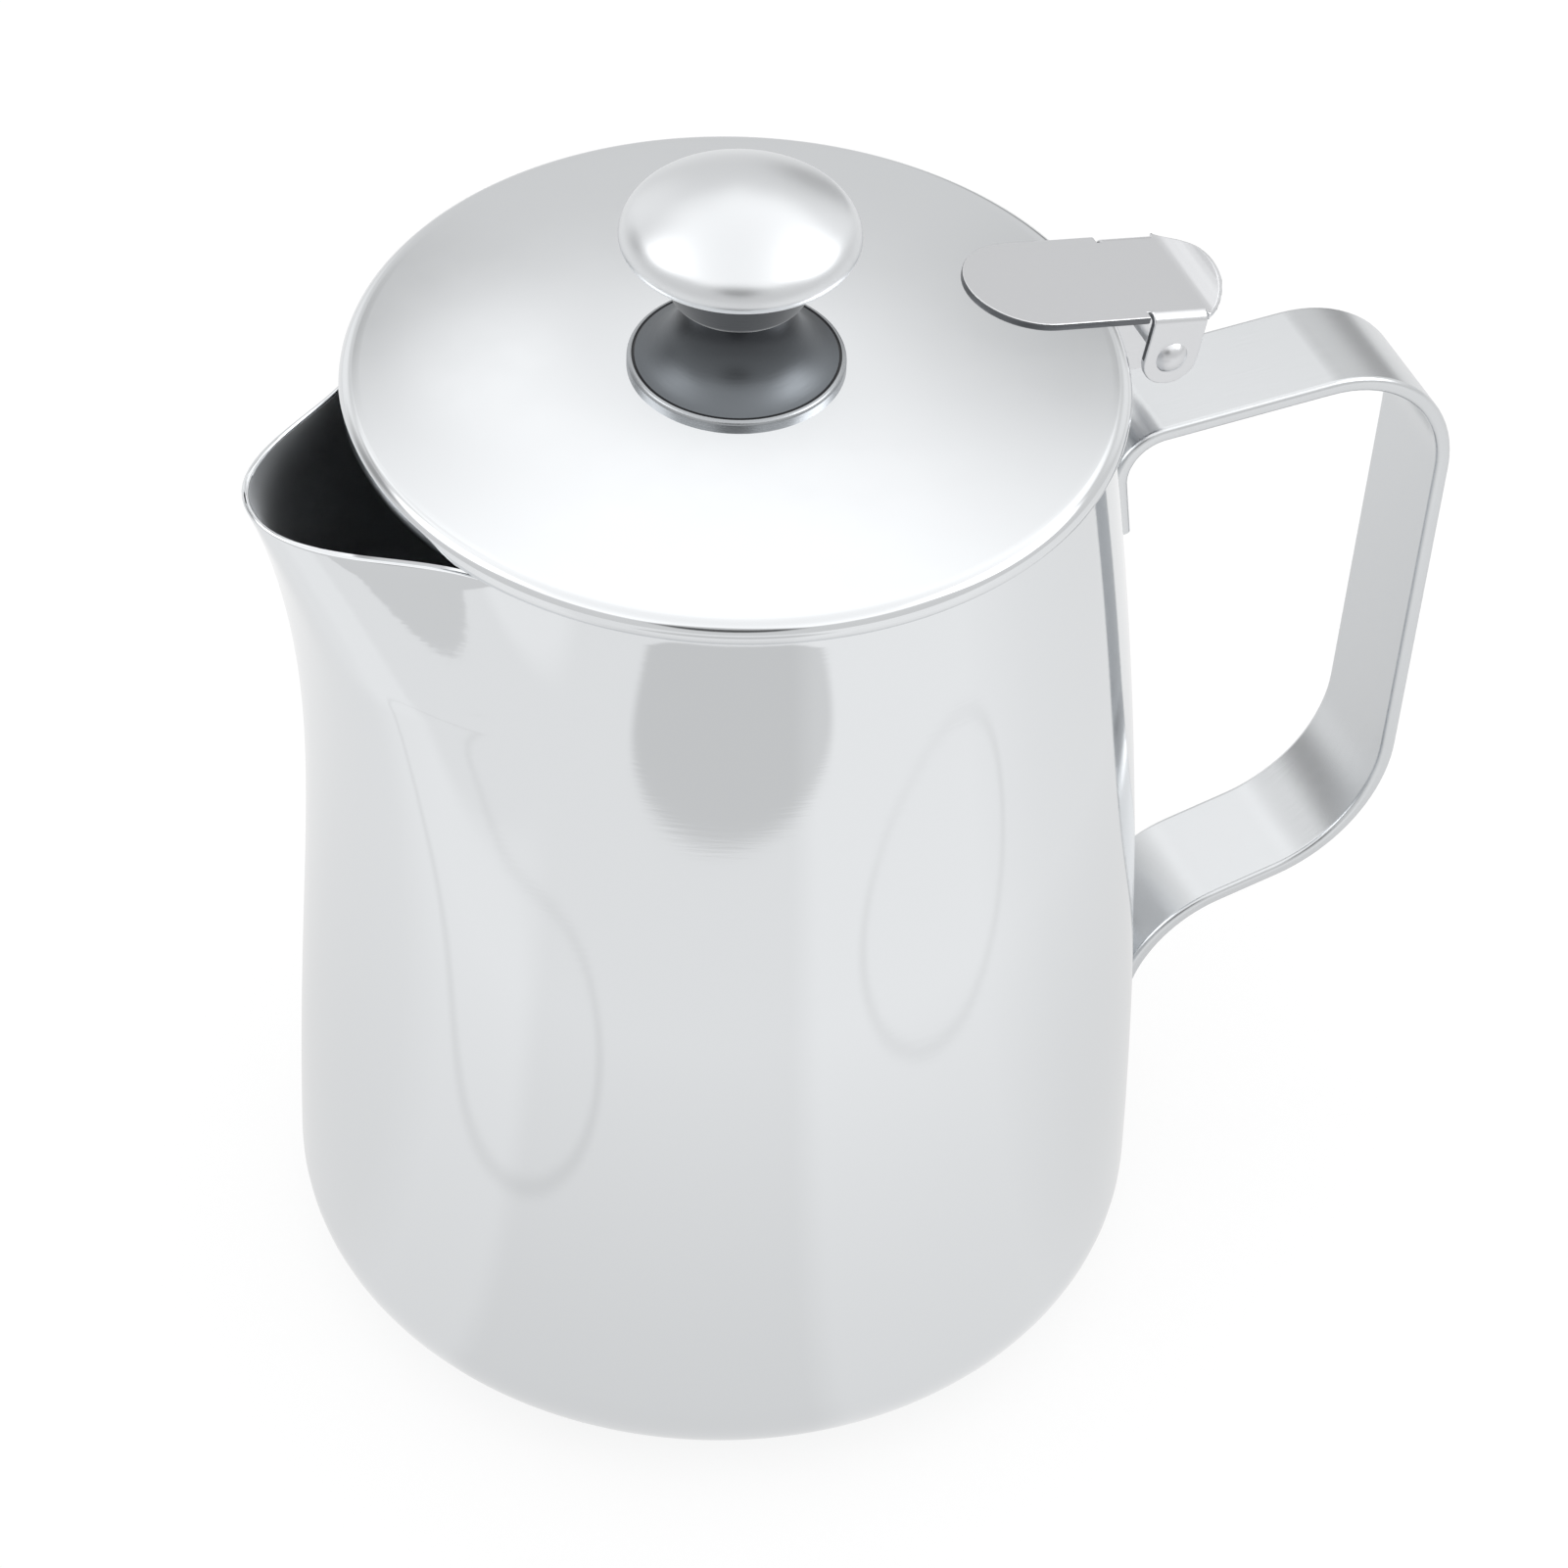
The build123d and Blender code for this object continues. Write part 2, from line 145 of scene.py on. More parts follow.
@dataclass(frozen=True)
class SteelFinish:
    """One finish of stainless steel.

    Bare metal takes its colour from the room. The finish sets how sharp that picture is,
    the rubbing marks stretch it, and slow ripples of the drawn sheet bend it. A turned finish
    smears it round the axis, and a painted shade darkens the tint between two heights.
    """

    name: str
    tint: str
    roughness: float
    grain: Grain = Grain.NONE
    grain_mm: float = 0.6
    grain_depth: float = 0.03
    roughness_spread: float = 0.04
    ripple_mm: float = 40.0
    ripple_depth: float = 0.0
    turned: float = 0.0
    shade: str = ""
    painted_shade_mm: Point = (0.0, 1.0)

    def material(self) -> bpy.types.Material:
        """Make the finish as a node material, once.

        Returns:
            The new material, or the one already made under this name.
        """
        found = bpy.data.materials.get(self.name)
        if found:
            return found
        made = bpy.data.materials.new(self.name)
        made.use_nodes = True
        tree = made.node_tree
        tree.nodes.clear()
        place = add_node(tree, "ShaderNodeTexCoord").outputs["Object"]
        stretched = add_node(tree, "ShaderNodeMapping", {"Scale": self.grain.value}, {"Vector": place})
        rubbed = add_node(tree, "ShaderNodeTexNoise",
                          {"Scale": 1 / (self.grain_mm * MM), "Detail": GRAIN_DETAIL,
                           "Roughness": GRAIN_BREAKUP},
                          {"Vector": stretched.outputs["Vector"]})
        cloudy = add_node(tree, "ShaderNodeTexNoise",
                          {"Scale": 1 / (self.ripple_mm * MM), "Detail": RIPPLE_DETAIL,
                           "Roughness": RIPPLE_BREAKUP},
                          {"Vector": place})
        spread = add_node(tree, "ShaderNodeMapRange",
                          {"To Min": self.roughness - self.roughness_spread,
                           "To Max": self.roughness + self.roughness_spread},
                          {"Value": rubbed.outputs["Fac"]})
        fine = add_node(tree, "ShaderNodeBump",
                        {"Strength": self.grain_depth, "Distance": GRAIN_RELIEF * MM},
                        {"Height": rubbed.outputs["Fac"]})
        waves = add_node(tree, "ShaderNodeBump",
                         {"Strength": self.ripple_depth, "Distance": RIPPLE_RELIEF * MM},
                         {"Height": cloudy.outputs["Fac"], "Normal": fine.outputs["Normal"]})
        shader = add_node(tree, "ShaderNodeBsdfPrincipled",
                          {"Base Color": linear(self.tint), "Metallic": 1.0, "Anisotropic": self.turned},
                          {"Roughness": spread.outputs[0], "Normal": waves.outputs["Normal"]})
        # The shade colour is painted shade, faded in with height.
        if self.shade:
            tree.links.new(self.painted_shade_tint(tree, place), shader.inputs["Base Color"])
        if self.turned:
            round_axis = add_node(tree, "ShaderNodeTangent", {"direction_type": "RADIAL", "axis": "Z"})
            tree.links.new(round_axis.outputs["Tangent"], shader.inputs["Tangent"])
        add_node(tree, "ShaderNodeOutputMaterial", None, {"Surface": shader.outputs["BSDF"]})
        return made

    def painted_shade_tint(self, tree: Tree, place: Socket) -> Socket:
        """Fade the tint into its painted shade with height.

        Args:
            tree: Node tree of the material.
            place: Socket with the place on the piece.

        Returns:
            Socket with the colour.
        """
        height = add_node(tree, "ShaderNodeSeparateXYZ", None, {"Vector": place}).outputs["Z"]
        fade = add_node(tree, "ShaderNodeMapRange",
                        {"interpolation_type": "SMOOTHSTEP", "From Min": self.painted_shade_mm[0] * MM,
                         "From Max": self.painted_shade_mm[1] * MM},
                        {"Value": height})
        blend = add_node(tree, "ShaderNodeMixRGB", {1: linear(self.tint), 2: linear(self.shade)},
                         {"Fac": fade.outputs[0]})
        return blend.outputs["Color"]


# Mirror-polished drawn sheet: a nearly sharp picture of the room, softened by buffing.
MIRROR_SHEET = SteelFinish("polished stainless sheet", "#DFE1E3", 0.06, Grain.ROUND, grain_mm=0.5,
                           grain_depth=0.03, roughness_spread=0.02, ripple_mm=60.0, ripple_depth=0.02)
# Lid sheet buffed less brightly: soft gradients, no sharp picture.
BUFFED_LID = SteelFinish("buffed stainless lid", "#DFE1E3", 0.11, Grain.ROUND, grain_mm=0.5,
                         grain_depth=0.01, roughness_spread=0.03, ripple_mm=60.0, ripple_depth=0.01)
# Unpolished inside of the drawn vessel: dark and dull in the throat.
DULL_INSIDE = SteelFinish("as-drawn stainless inside", "#DCDFE2", 0.68, Grain.ROUND, grain_mm=0.5,
                          grain_depth=0.20, roughness_spread=0.08)
# Strip rubbed lengthwise: soft highlights that run along the handle.
SATIN_STRIP = SteelFinish("satin stainless strip", "#D6D8DA", 0.24, Grain.ALONG, grain_mm=0.35,
                          grain_depth=0.05, roughness_spread=0.05, ripple_mm=30.0, ripple_depth=0.01)
# Tumbled stamping: even and matte.
SATIN_PLATE = SteelFinish("satin stainless plate", "#DADBDD", 0.30, grain_mm=0.5)
# Sheared edge of the stamping: rough, with a dark tint that is painted shade, a thin line round the plate's
# inner end.
SHEARED_EDGE_PAINTED_SHADE = SteelFinish("sheared stainless edge with painted shade", "#6E7073", 0.45, grain_mm=0.3, grain_depth=0.10,
                           roughness_spread=0.05)
# Buffed cap: bright, with a soft picture.
BRIGHT_CAP = SteelFinish("buffed stainless cap", "#DFE1E3", 0.33, Grain.ROUND, grain_mm=0.4,
                         grain_depth=0.02, roughness_spread=0.03)
# Turned neck: fine circular tool marks on a dark grey tint that is painted shade and dark reflection from
# under the cap, with more painted shade at the waist and on the cup.
TURNED_NECK = SteelFinish("turned stainless neck with painted shade", "#666A6E", 0.34, Grain.ROUND, grain_mm=0.25,
                          grain_depth=0.08, roughness_spread=0.06, turned=0.7, shade="#45474A",
                          painted_shade_mm=(155.0, 161.0))
# Painted shade in the groove round the knob's foot: a thin dark line.
GROOVE_PAINTED_SHADE = SteelFinish("stainless groove with painted shade", "#2E2F31", 0.50, Grain.ROUND, grain_mm=0.25,
                           grain_depth=0.05, roughness_spread=0.05)
# Turned ring: fine circular tool marks, rubbed lighter than the neck.
TURNED_RING = SteelFinish("turned stainless ring", "#A9ACAF", 0.28, Grain.ROUND, grain_mm=0.25,
                          grain_depth=0.06, roughness_spread=0.06)
# Plain bright fasteners, seen only under the lid.
BRIGHT_FASTENER = SteelFinish("bright rolled fastener steel", "#D0D2D4", 0.32, grain_mm=0.4,
                              grain_depth=0.05, roughness_spread=0.05)


class Walker:
    """Draws a line of edges with one moving vertex, and can turn it about the Z axis."""

    def __init__(self, first: float, second: float, upright: bool = True) -> None:
        """Start the line.

        Args:
            first: Radius, or X in plan, in millimetres.
            second: Height, or Y in plan, in millimetres.
            upright: True for a line in the XZ plane, False for one in plan.
        """
        self.bm = bmesh.new()
        self.upright = upright
        self.at: Point = (first, second)
        self.tip = self.bm.verts.new(self.spot(first, second))
        self.start = self.tip

    def spot(self, first: float, second: float) -> Vector:
        """Return the place in space, in metres, of two drawing coordinates in millimetres."""
        y, z = (0.0, second) if self.upright else (second, 0.0)
        return Vector((first * MM, y * MM, z * MM))

    def line(self, first: float, second: float, steps: int = 1) -> "Walker":
        """Walk straight to a point.

        Args:
            first: Radius, or X in plan, in millimetres.
            second: Height, or Y in plan, in millimetres.
            steps: Number of equal edges on the way.

        Returns:
            The walker itself.
        """
        move = (self.spot(first, second) - self.tip.co) / steps
        for _ in range(steps):
            self.tip = bmesh.ops.extrude_vert_indiv(self.bm, verts=[self.tip])["verts"][0]
            bmesh.ops.translate(self.bm, vec=move, verts=[self.tip])
        self.at = (first, second)
        return self

    def arc(self, centre: Point, degrees: float, steps: int) -> "Walker":
        """Walk round a centre.

        Args:
            centre: Centre of the arc, in millimetres.
            degrees: Angle, positive where it is anticlockwise in the drawing.
            steps: Number of equal edges on the way.

        Returns:
            The walker itself.
        """
        axis = (0.0, -1.0, 0.0) if self.upright else (0.0, 0.0, 1.0)
        made = bmesh.ops.spin(self.bm, geom=[self.tip], cent=self.spot(*centre), axis=axis,
                              angle=math.radians(degrees), steps=steps)
        self.tip = only(made["geom_last"], Vert)[0]
        turn = Matrix.Rotation(math.radians(degrees), 2)
        out = turn @ Vector((self.at[0] - centre[0], self.at[1] - centre[1]))
        self.at = (centre[0] + out.x, centre[1] + out.y)
        return self

    def glide(self, to: Point, heading: Point, steps: int) -> "Walker":
        """Walk the one arc that leaves in a heading and ends at a point.

        Args:
            to: End of the arc, in millimetres.
            heading: Direction in which the arc leaves.
            steps: Number of equal edges on the way.

        Returns:
            The walker itself.
        """
        ahead = Vector(heading).normalized()
        left = Vector((-ahead.y, ahead.x))
        back = Vector(self.at) - Vector(to)
        radius = -back.length_squared / (2 * back.dot(left))
        centre = Vector(self.at) + left * radius
        old = Vector(self.at) - centre
        new = Vector(to) - centre
        degrees = math.degrees(math.atan2(old.x * new.y - old.y * new.x, old.dot(new)))
        self.arc((centre.x, centre.y), degrees, steps)
        self.at = to
        return self

    def corner(self, at: Point, towards: Point, radius: float, steps: int) -> "Walker":
        """Walk to a corner and round it, ready to go on towards the next point.

        Args:
            at: The corner before it is rounded, in millimetres.
            towards: The point after the corner.
            radius: Radius of the rounding.
            steps: Number of equal edges round the corner.

        Returns:
            The walker itself.
        """
        come = (Vector(at) - Vector(self.at)).normalized()
        go = (Vector(towards) - Vector(at)).normalized()
        turn = math.atan2(come.x * go.y - come.y * go.x, come.dot(go))
        cut = radius * math.tan(abs(turn) / 2)
        begin = Vector(at) - come * cut
        side = Vector((-come.y, come.x)) * math.copysign(radius, turn)
        self.line(begin.x, begin.y)
        return self.arc((begin.x + side.x, begin.y + side.y), math.degrees(turn), steps)

    def close(self) -> "Walker":
        """Join the line's end to its start."""
        self.bm.edges.new((self.tip, self.start))
        return self

    def turn(self, steps: int) -> Mesh:
        """Turn the line once about the Z axis.

        Args:
            steps: Number of facets round the circle.

        Returns:
            The turned mesh, with its doubles merged and its normals outwards.
        """
        bm = self.bm
        bmesh.ops.spin(bm, geom=bm.verts[:] + bm.edges[:], cent=(0, 0, 0), axis=(0, 0, 1),
                       angle=2 * math.pi, steps=steps, use_merge=True)
        bmesh.ops.remove_doubles(bm, verts=bm.verts[:], dist=MERGE)
        bmesh.ops.recalc_face_normals(bm, faces=bm.faces[:])
        return bm


def finish_piece(name: str, bm: Mesh, finishes: Sequence[SteelFinish], body: Body,
                 node: str, crease: float = TURNED_CREASE, even: bool = False) -> Piece:
    """Make a finished piece that stands for a CAD node.

    Args:
        name: Name of the piece.
        bm: Its mesh, in place, in metres.
        finishes: Finishes in the order of the faces' material numbers.
        body: Body that it rides on.
        node: CAD node that it replaces.
        crease: Angle in degrees above which an edge shows sharp.
        even: True where flats keep their own shading beside narrow rounded edges.

    Returns:
        The new object.
    """
    mesh = bpy.data.meshes.new(name)
    bm.to_mesh(mesh)
    bm.free()
    mesh.shade_smooth()
    mesh.set_sharp_from_angle(angle=math.radians(crease))
    for finish in finishes:
        mesh.materials.append(finish.material())
    made = bpy.data.objects.new(name, mesh)
    bpy.context.scene.collection.objects.link(made)
    if even:
        shading = made.modifiers.new("even_flats", "WEIGHTED_NORMAL")
        shading.keep_sharp = True
    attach(made, body.value)
    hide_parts(node)
    LOG.info("%s: %d faces, on the %s", name, len(mesh.polygons), body.value)
    return made


@dataclass
class JugVessel:
    """Vessel of one drawn sheet: flat base, tall leaning wall and a pressed spout.

    Lengths are in millimetres and the spout's spread in degrees. The spout's fan and widest say
    how its spread grows below the lip, and the flank values how square its sides are.
    """

    wall: float = 1.0
    height: float = 146.2
    rim_radius: float = 49.3
    belly_radius: float = 58.8
    belly_height: float = 14.5
    corner: float = 14.0
    spout_reach: float = 18.65
    spout_depth: float = 110.0
    spout_power: float = 3.2
    spout_spread: float = 12.4
    spout_fan: float = 6.0
    spout_widest: float = 2.0
    flank_rim: float = 2.2
    flank_gain: float = 1.8
    flank_depth: float = 0.2
    rim_round: float = 0.4
    rim_segments: int = 4
    base_steps: int = 8
    corner_steps: int = 14
    wall_steps: int = 62
    facets: int = 288

    @property
    def wall_arc(self) -> float:
        """Radius of the upright arc of the wall."""
        rise, lean = self.height - self.belly_height, self.belly_radius - self.rim_radius
        return (rise ** 2 + lean ** 2) / (2 * lean)

    def wall_radius(self, z: float) -> float:
        """Return the plain wall's outer radius at one height."""
        up = z - self.belly_height
        return self.belly_radius - self.wall_arc + math.sqrt(self.wall_arc ** 2 - up ** 2)

    def outer_skin(self) -> Mesh:
        """Turn the plain outer skin.

        Returns:
            The skin without its spout.
        """
        base = self.belly_radius - self.corner
        line = Walker(0.0, 0.0).line(base, 0.0, self.base_steps)
        line.arc((base, self.corner), 90.0, self.corner_steps)
        line.line(self.belly_radius, self.belly_height)
        line.glide((self.rim_radius, self.height), (0.0, 1.0), self.wall_steps)
        return line.turn(self.facets)

    def press_spout(self, bm: Mesh) -> None:
        """Push the wall out where the spout is, in a swell that fades and fans out below the lip.

        Args:
            bm: The outer skin.
        """
        for vert in bm.verts:
            down = (self.height - vert.co.z / MM) / self.spout_depth
            if down >= 1.0:
                continue
            spread = self.spout_spread * min(1.0 + self.spout_fan * down, self.spout_widest)
            off = abs(math.degrees(math.atan2(vert.co.y, -vert.co.x))) / spread
            flank = self.flank_rim + self.flank_gain * min(1.0, down / self.flank_depth)
            bell = math.exp(-0.5 * off ** flank)
            reach = self.spout_reach * (1.0 - down) ** self.spout_power * bell
            vert.co += Vector((vert.co.x, vert.co.y, 0.0)).normalized() * reach * MM

    def looks_in(self, face: bmesh.types.BMFace) -> bool:
        """Return whether a face looks towards the vessel's middle."""
        middle = Vector((0.0, 0.0, 0.5 * self.height * MM))
        return face.normal.dot(face.calc_center_median() - middle) < 0.0

    def thicken(self, bm: Mesh) -> None:
        """Give the skin its wall, inwards.

        Args:
            bm: The outer skin.
        """
        bmesh.ops.recalc_face_normals(bm, faces=bm.faces[:])
        bm.faces.ensure_lookup_table()
        if self.looks_in(bm.faces[0]):
            bmesh.ops.reverse_faces(bm, faces=bm.faces[:])
        bmesh.ops.solidify(bm, geom=bm.faces[:], thickness=self.wall * MM)
        bm.normal_update()

    def round_brim(self, bm: Mesh) -> None:
        """Level the brim and round both its edges.

        Args:
            bm: The vessel with its wall.
        """
        level = (self.height - 2 * self.wall) * MM
        brim = [face for face in bm.faces
                if all(vert.co.z > level for vert in face.verts) and abs(face.normal.z) > LEVEL]
        for vert in {vert for face in brim for vert in face.verts}:
            vert.co.z = self.height * MM
        rims = {edge for face in brim for edge in face.edges
                if any(other not in brim for other in edge.link_faces)}
        bmesh.ops.bevel(bm, geom=list(rims), offset=self.rim_round * MM, offset_type="OFFSET",
                        segments=self.rim_segments, profile=0.5, affect="EDGES", material=-1)
        bm.normal_update()

    def build(self) -> Piece:
        """Build the vessel, polished outside and dull inside.

        Returns:
            The finished vessel.
        """
        bm = self.outer_skin()
        self.press_spout(bm)
        self.thicken(bm)
        self.round_brim(bm)
        for face in bm.faces:
            face.material_index = 1 if self.looks_in(face) else 0
        return finish_piece("jug_vessel", bm, (MIRROR_SHEET, DULL_INSIDE), Body.JUG,
                            "jug_body")


@dataclass
class StrapHandle:
    """Handle of flat strip, bent in the upright plane and welded at both feet.

    Lengths are in millimetres. Each foot lies on the wall between its foot height and its run
    height, and the grip's corners are places of the strip's middle line.
    """

    vessel: JugVessel
    width: float = 17.4
    thick: float = 2.2
    edge: float = 0.8
    sink: float = 0.15
    upper_foot_z: float = 112.7
    upper_run_z: float = 128.1
    upper_bend: float = 6.5
    grip_top: Point = (104.6, 129.7)
    grip_top_bend: float = 18.0
    grip_low: Point = (98.6, 44.4)
    grip_low_bend: float = 21.0
    lower_run_z: float = 35.8
    lower_bend: float = 18.5
    lower_foot_z: float = 11.5
    bend_steps: int = 20
    edge_segments: int = 5

    def on_wall(self, z: float) -> Point:
        """Return where the strip's middle line lies on the wall at one height."""
        return self.vessel.wall_radius(z) - self.sink + self.thick / 2, z

    def route(self) -> List[Tuple[Point, float]]:
        """Lay out the strip's middle line.

        Returns:
            The corners of the line from the upper foot to the lower, each with its bend radius.
        """
        return [
            (self.on_wall(self.upper_foot_z), 0.0),
            (self.on_wall(self.upper_run_z), self.upper_bend),
            (self.grip_top, self.grip_top_bend),
            (self.grip_low, self.grip_low_bend),
            (self.on_wall(self.lower_run_z), self.lower_bend),
            (self.on_wall(self.lower_foot_z), 0.0),
        ]

    def section(self, bm: Mesh, at: Vector, along: Vector) -> Edges:
        """Draw the strip's rounded section across a direction.

        Args:
            bm: Empty mesh that takes the section.
            at: Middle of the section, in metres.
            along: Direction of the strip there.

        Returns:
            Edges of the section.
        """
        bmesh.ops.create_grid(bm, x_segments=1, y_segments=1, size=0.5)
        bmesh.ops.scale(bm, vec=(self.thick * MM, self.width * MM, 1.0), verts=bm.verts[:])
        bmesh.ops.bevel(bm, geom=bm.verts[:], offset=self.edge * MM, offset_type="OFFSET",
                        segments=self.edge_segments, profile=0.5, affect="VERTICES", material=-1)
        bmesh.ops.delete(bm, geom=bm.faces[:], context="FACES_ONLY")
        turn = Matrix(((along.z, 0.0, along.x), (0.0, 1.0, 0.0), (-along.x, 0.0, along.z)))
        bmesh.ops.transform(bm, matrix=Matrix.Translation(at) @ turn.to_4x4(), verts=bm.verts[:])
        return bm.edges[:]

    def push(self, bm: Mesh, edges: Edges, move: Vector) -> Edges:
        """Run the section straight on.

        Args:
            bm: The strip so far.
            edges: Edges of its last section.
            move: Length and direction of the run, in metres.

        Returns:
            Edges of the new section.
        """
        made = bmesh.ops.extrude_edge_only(bm, edges=edges)["geom"]
        verts = set(only(made, Vert))
        bmesh.ops.translate(bm, vec=move, verts=list(verts))
        return [edge for edge in only(made, Edge) if set(edge.verts) <= verts]

    def bend(self, bm: Mesh, edges: Edges, centre: Vector, turn: float) -> Edges:
        """Run the section round a bend.

        Args:
            bm: The strip so far.
            edges: Edges of its last section.
            centre: Centre of the bend, in metres.
            turn: Angle of the bend about the Y axis, in radians.

        Returns:
            Edges of the new section.
        """
        ring = list({vert for edge in edges for vert in edge.verts})
        made = bmesh.ops.spin(bm, geom=ring + edges, cent=centre, axis=(0, 1, 0), angle=turn,
                              steps=self.bend_steps)
        return only(made["geom_last"], Edge)

    def build(self) -> Piece:
        """Run the section along the whole route and close its ends.

        Returns:
            The finished strip.
        """
        bm = bmesh.new()
        spots = [Vector((at[0], 0.0, at[1])) * MM for at, _ in self.route()]
        bends = [radius * MM for _, radius in self.route()]
        along = (spots[1] - spots[0]).normalized()
        edges = self.section(bm, spots[0], along)
        used = 0.0
        for index in range(1, len(spots) - 1):
            ahead = (spots[index + 1] - spots[index]).normalized()
            turn = math.atan2(along.cross(ahead).y, along.dot(ahead))
            cut = bends[index] * math.tan(abs(turn) / 2)
            edges = self.push(bm, edges, along * ((spots[index] - spots[index - 1]).length - used - cut))
            side = Vector((along.z, 0.0, -along.x)) * math.copysign(bends[index], turn)
            edges = self.bend(bm, edges, spots[index] - along * cut + side, turn)
            along = ahead
            used = cut
        self.push(bm, edges, along * ((spots[-1] - spots[-2]).length - used))
        bmesh.ops.holes_fill(bm, edges=bm.edges[:], sides=0)
        bmesh.ops.recalc_face_normals(bm, faces=bm.faces[:])
        return finish_piece("bent_strap", bm, (SATIN_STRIP,), Body.JUG, "handle_strap",
                            BENT_CREASE, True)


@dataclass
class LidDome:
    """Shallow pressed lid with its edge rolled under, in millimetres."""

    radius: float = 52.0
    sheet: float = 0.9
    hem_low: float = 146.5
    hem_thick: float = 3.8
    hem_width: float = 4.4
    crown_height: float = 0.8
    crown_flat: float = 14.6
    hole: float = 2.5
    flat_steps: int = 6
    crown_steps: int = 40
    hem_steps: int = 12
    under_steps: int = 30
    under_flat_steps: int = 4
    facets: int = 256

    @property
    def crown(self) -> float:
        """Height of the lid's flat middle."""
        return self.hem_low + self.hem_thick + self.crown_height

    def build(self) -> Piece:
        """Turn the lid from its hole out over the crown, round the hem and back underneath.

        Returns:
            The finished lid.
        """
        hem_round = self.hem_thick / 2
        shoulder = self.radius - hem_round
        hem_in = self.radius - self.hem_width
        run = shoulder - self.crown_flat
        under = (run ** 2 + self.crown_height ** 2) / (2 * self.crown_height) - self.sheet
        drop = under - math.sqrt(under ** 2 - (hem_in - self.crown_flat) ** 2)
        under_crown = self.crown - self.sheet
        fall = math.degrees(math.asin((hem_in - self.crown_flat) / under))
        line = Walker(self.hole, self.crown).line(self.crown_flat, self.crown, self.flat_steps)
        line.glide((shoulder, self.hem_low + self.hem_thick), (1.0, 0.0), self.crown_steps)
        line.arc((shoulder, self.hem_low + hem_round), -180.0, self.hem_steps)
        line.line(hem_in, self.hem_low).line(hem_in, under_crown - drop)
        line.arc((self.crown_flat, under_crown - under), fall, self.under_steps)
        line.line(self.hole, under_crown, self.under_flat_steps)
        bm = line.close().turn(self.facets)
        return finish_piece("lid_sheet", bm, (BUFFED_LID,), Body.LID, "lid_dome")


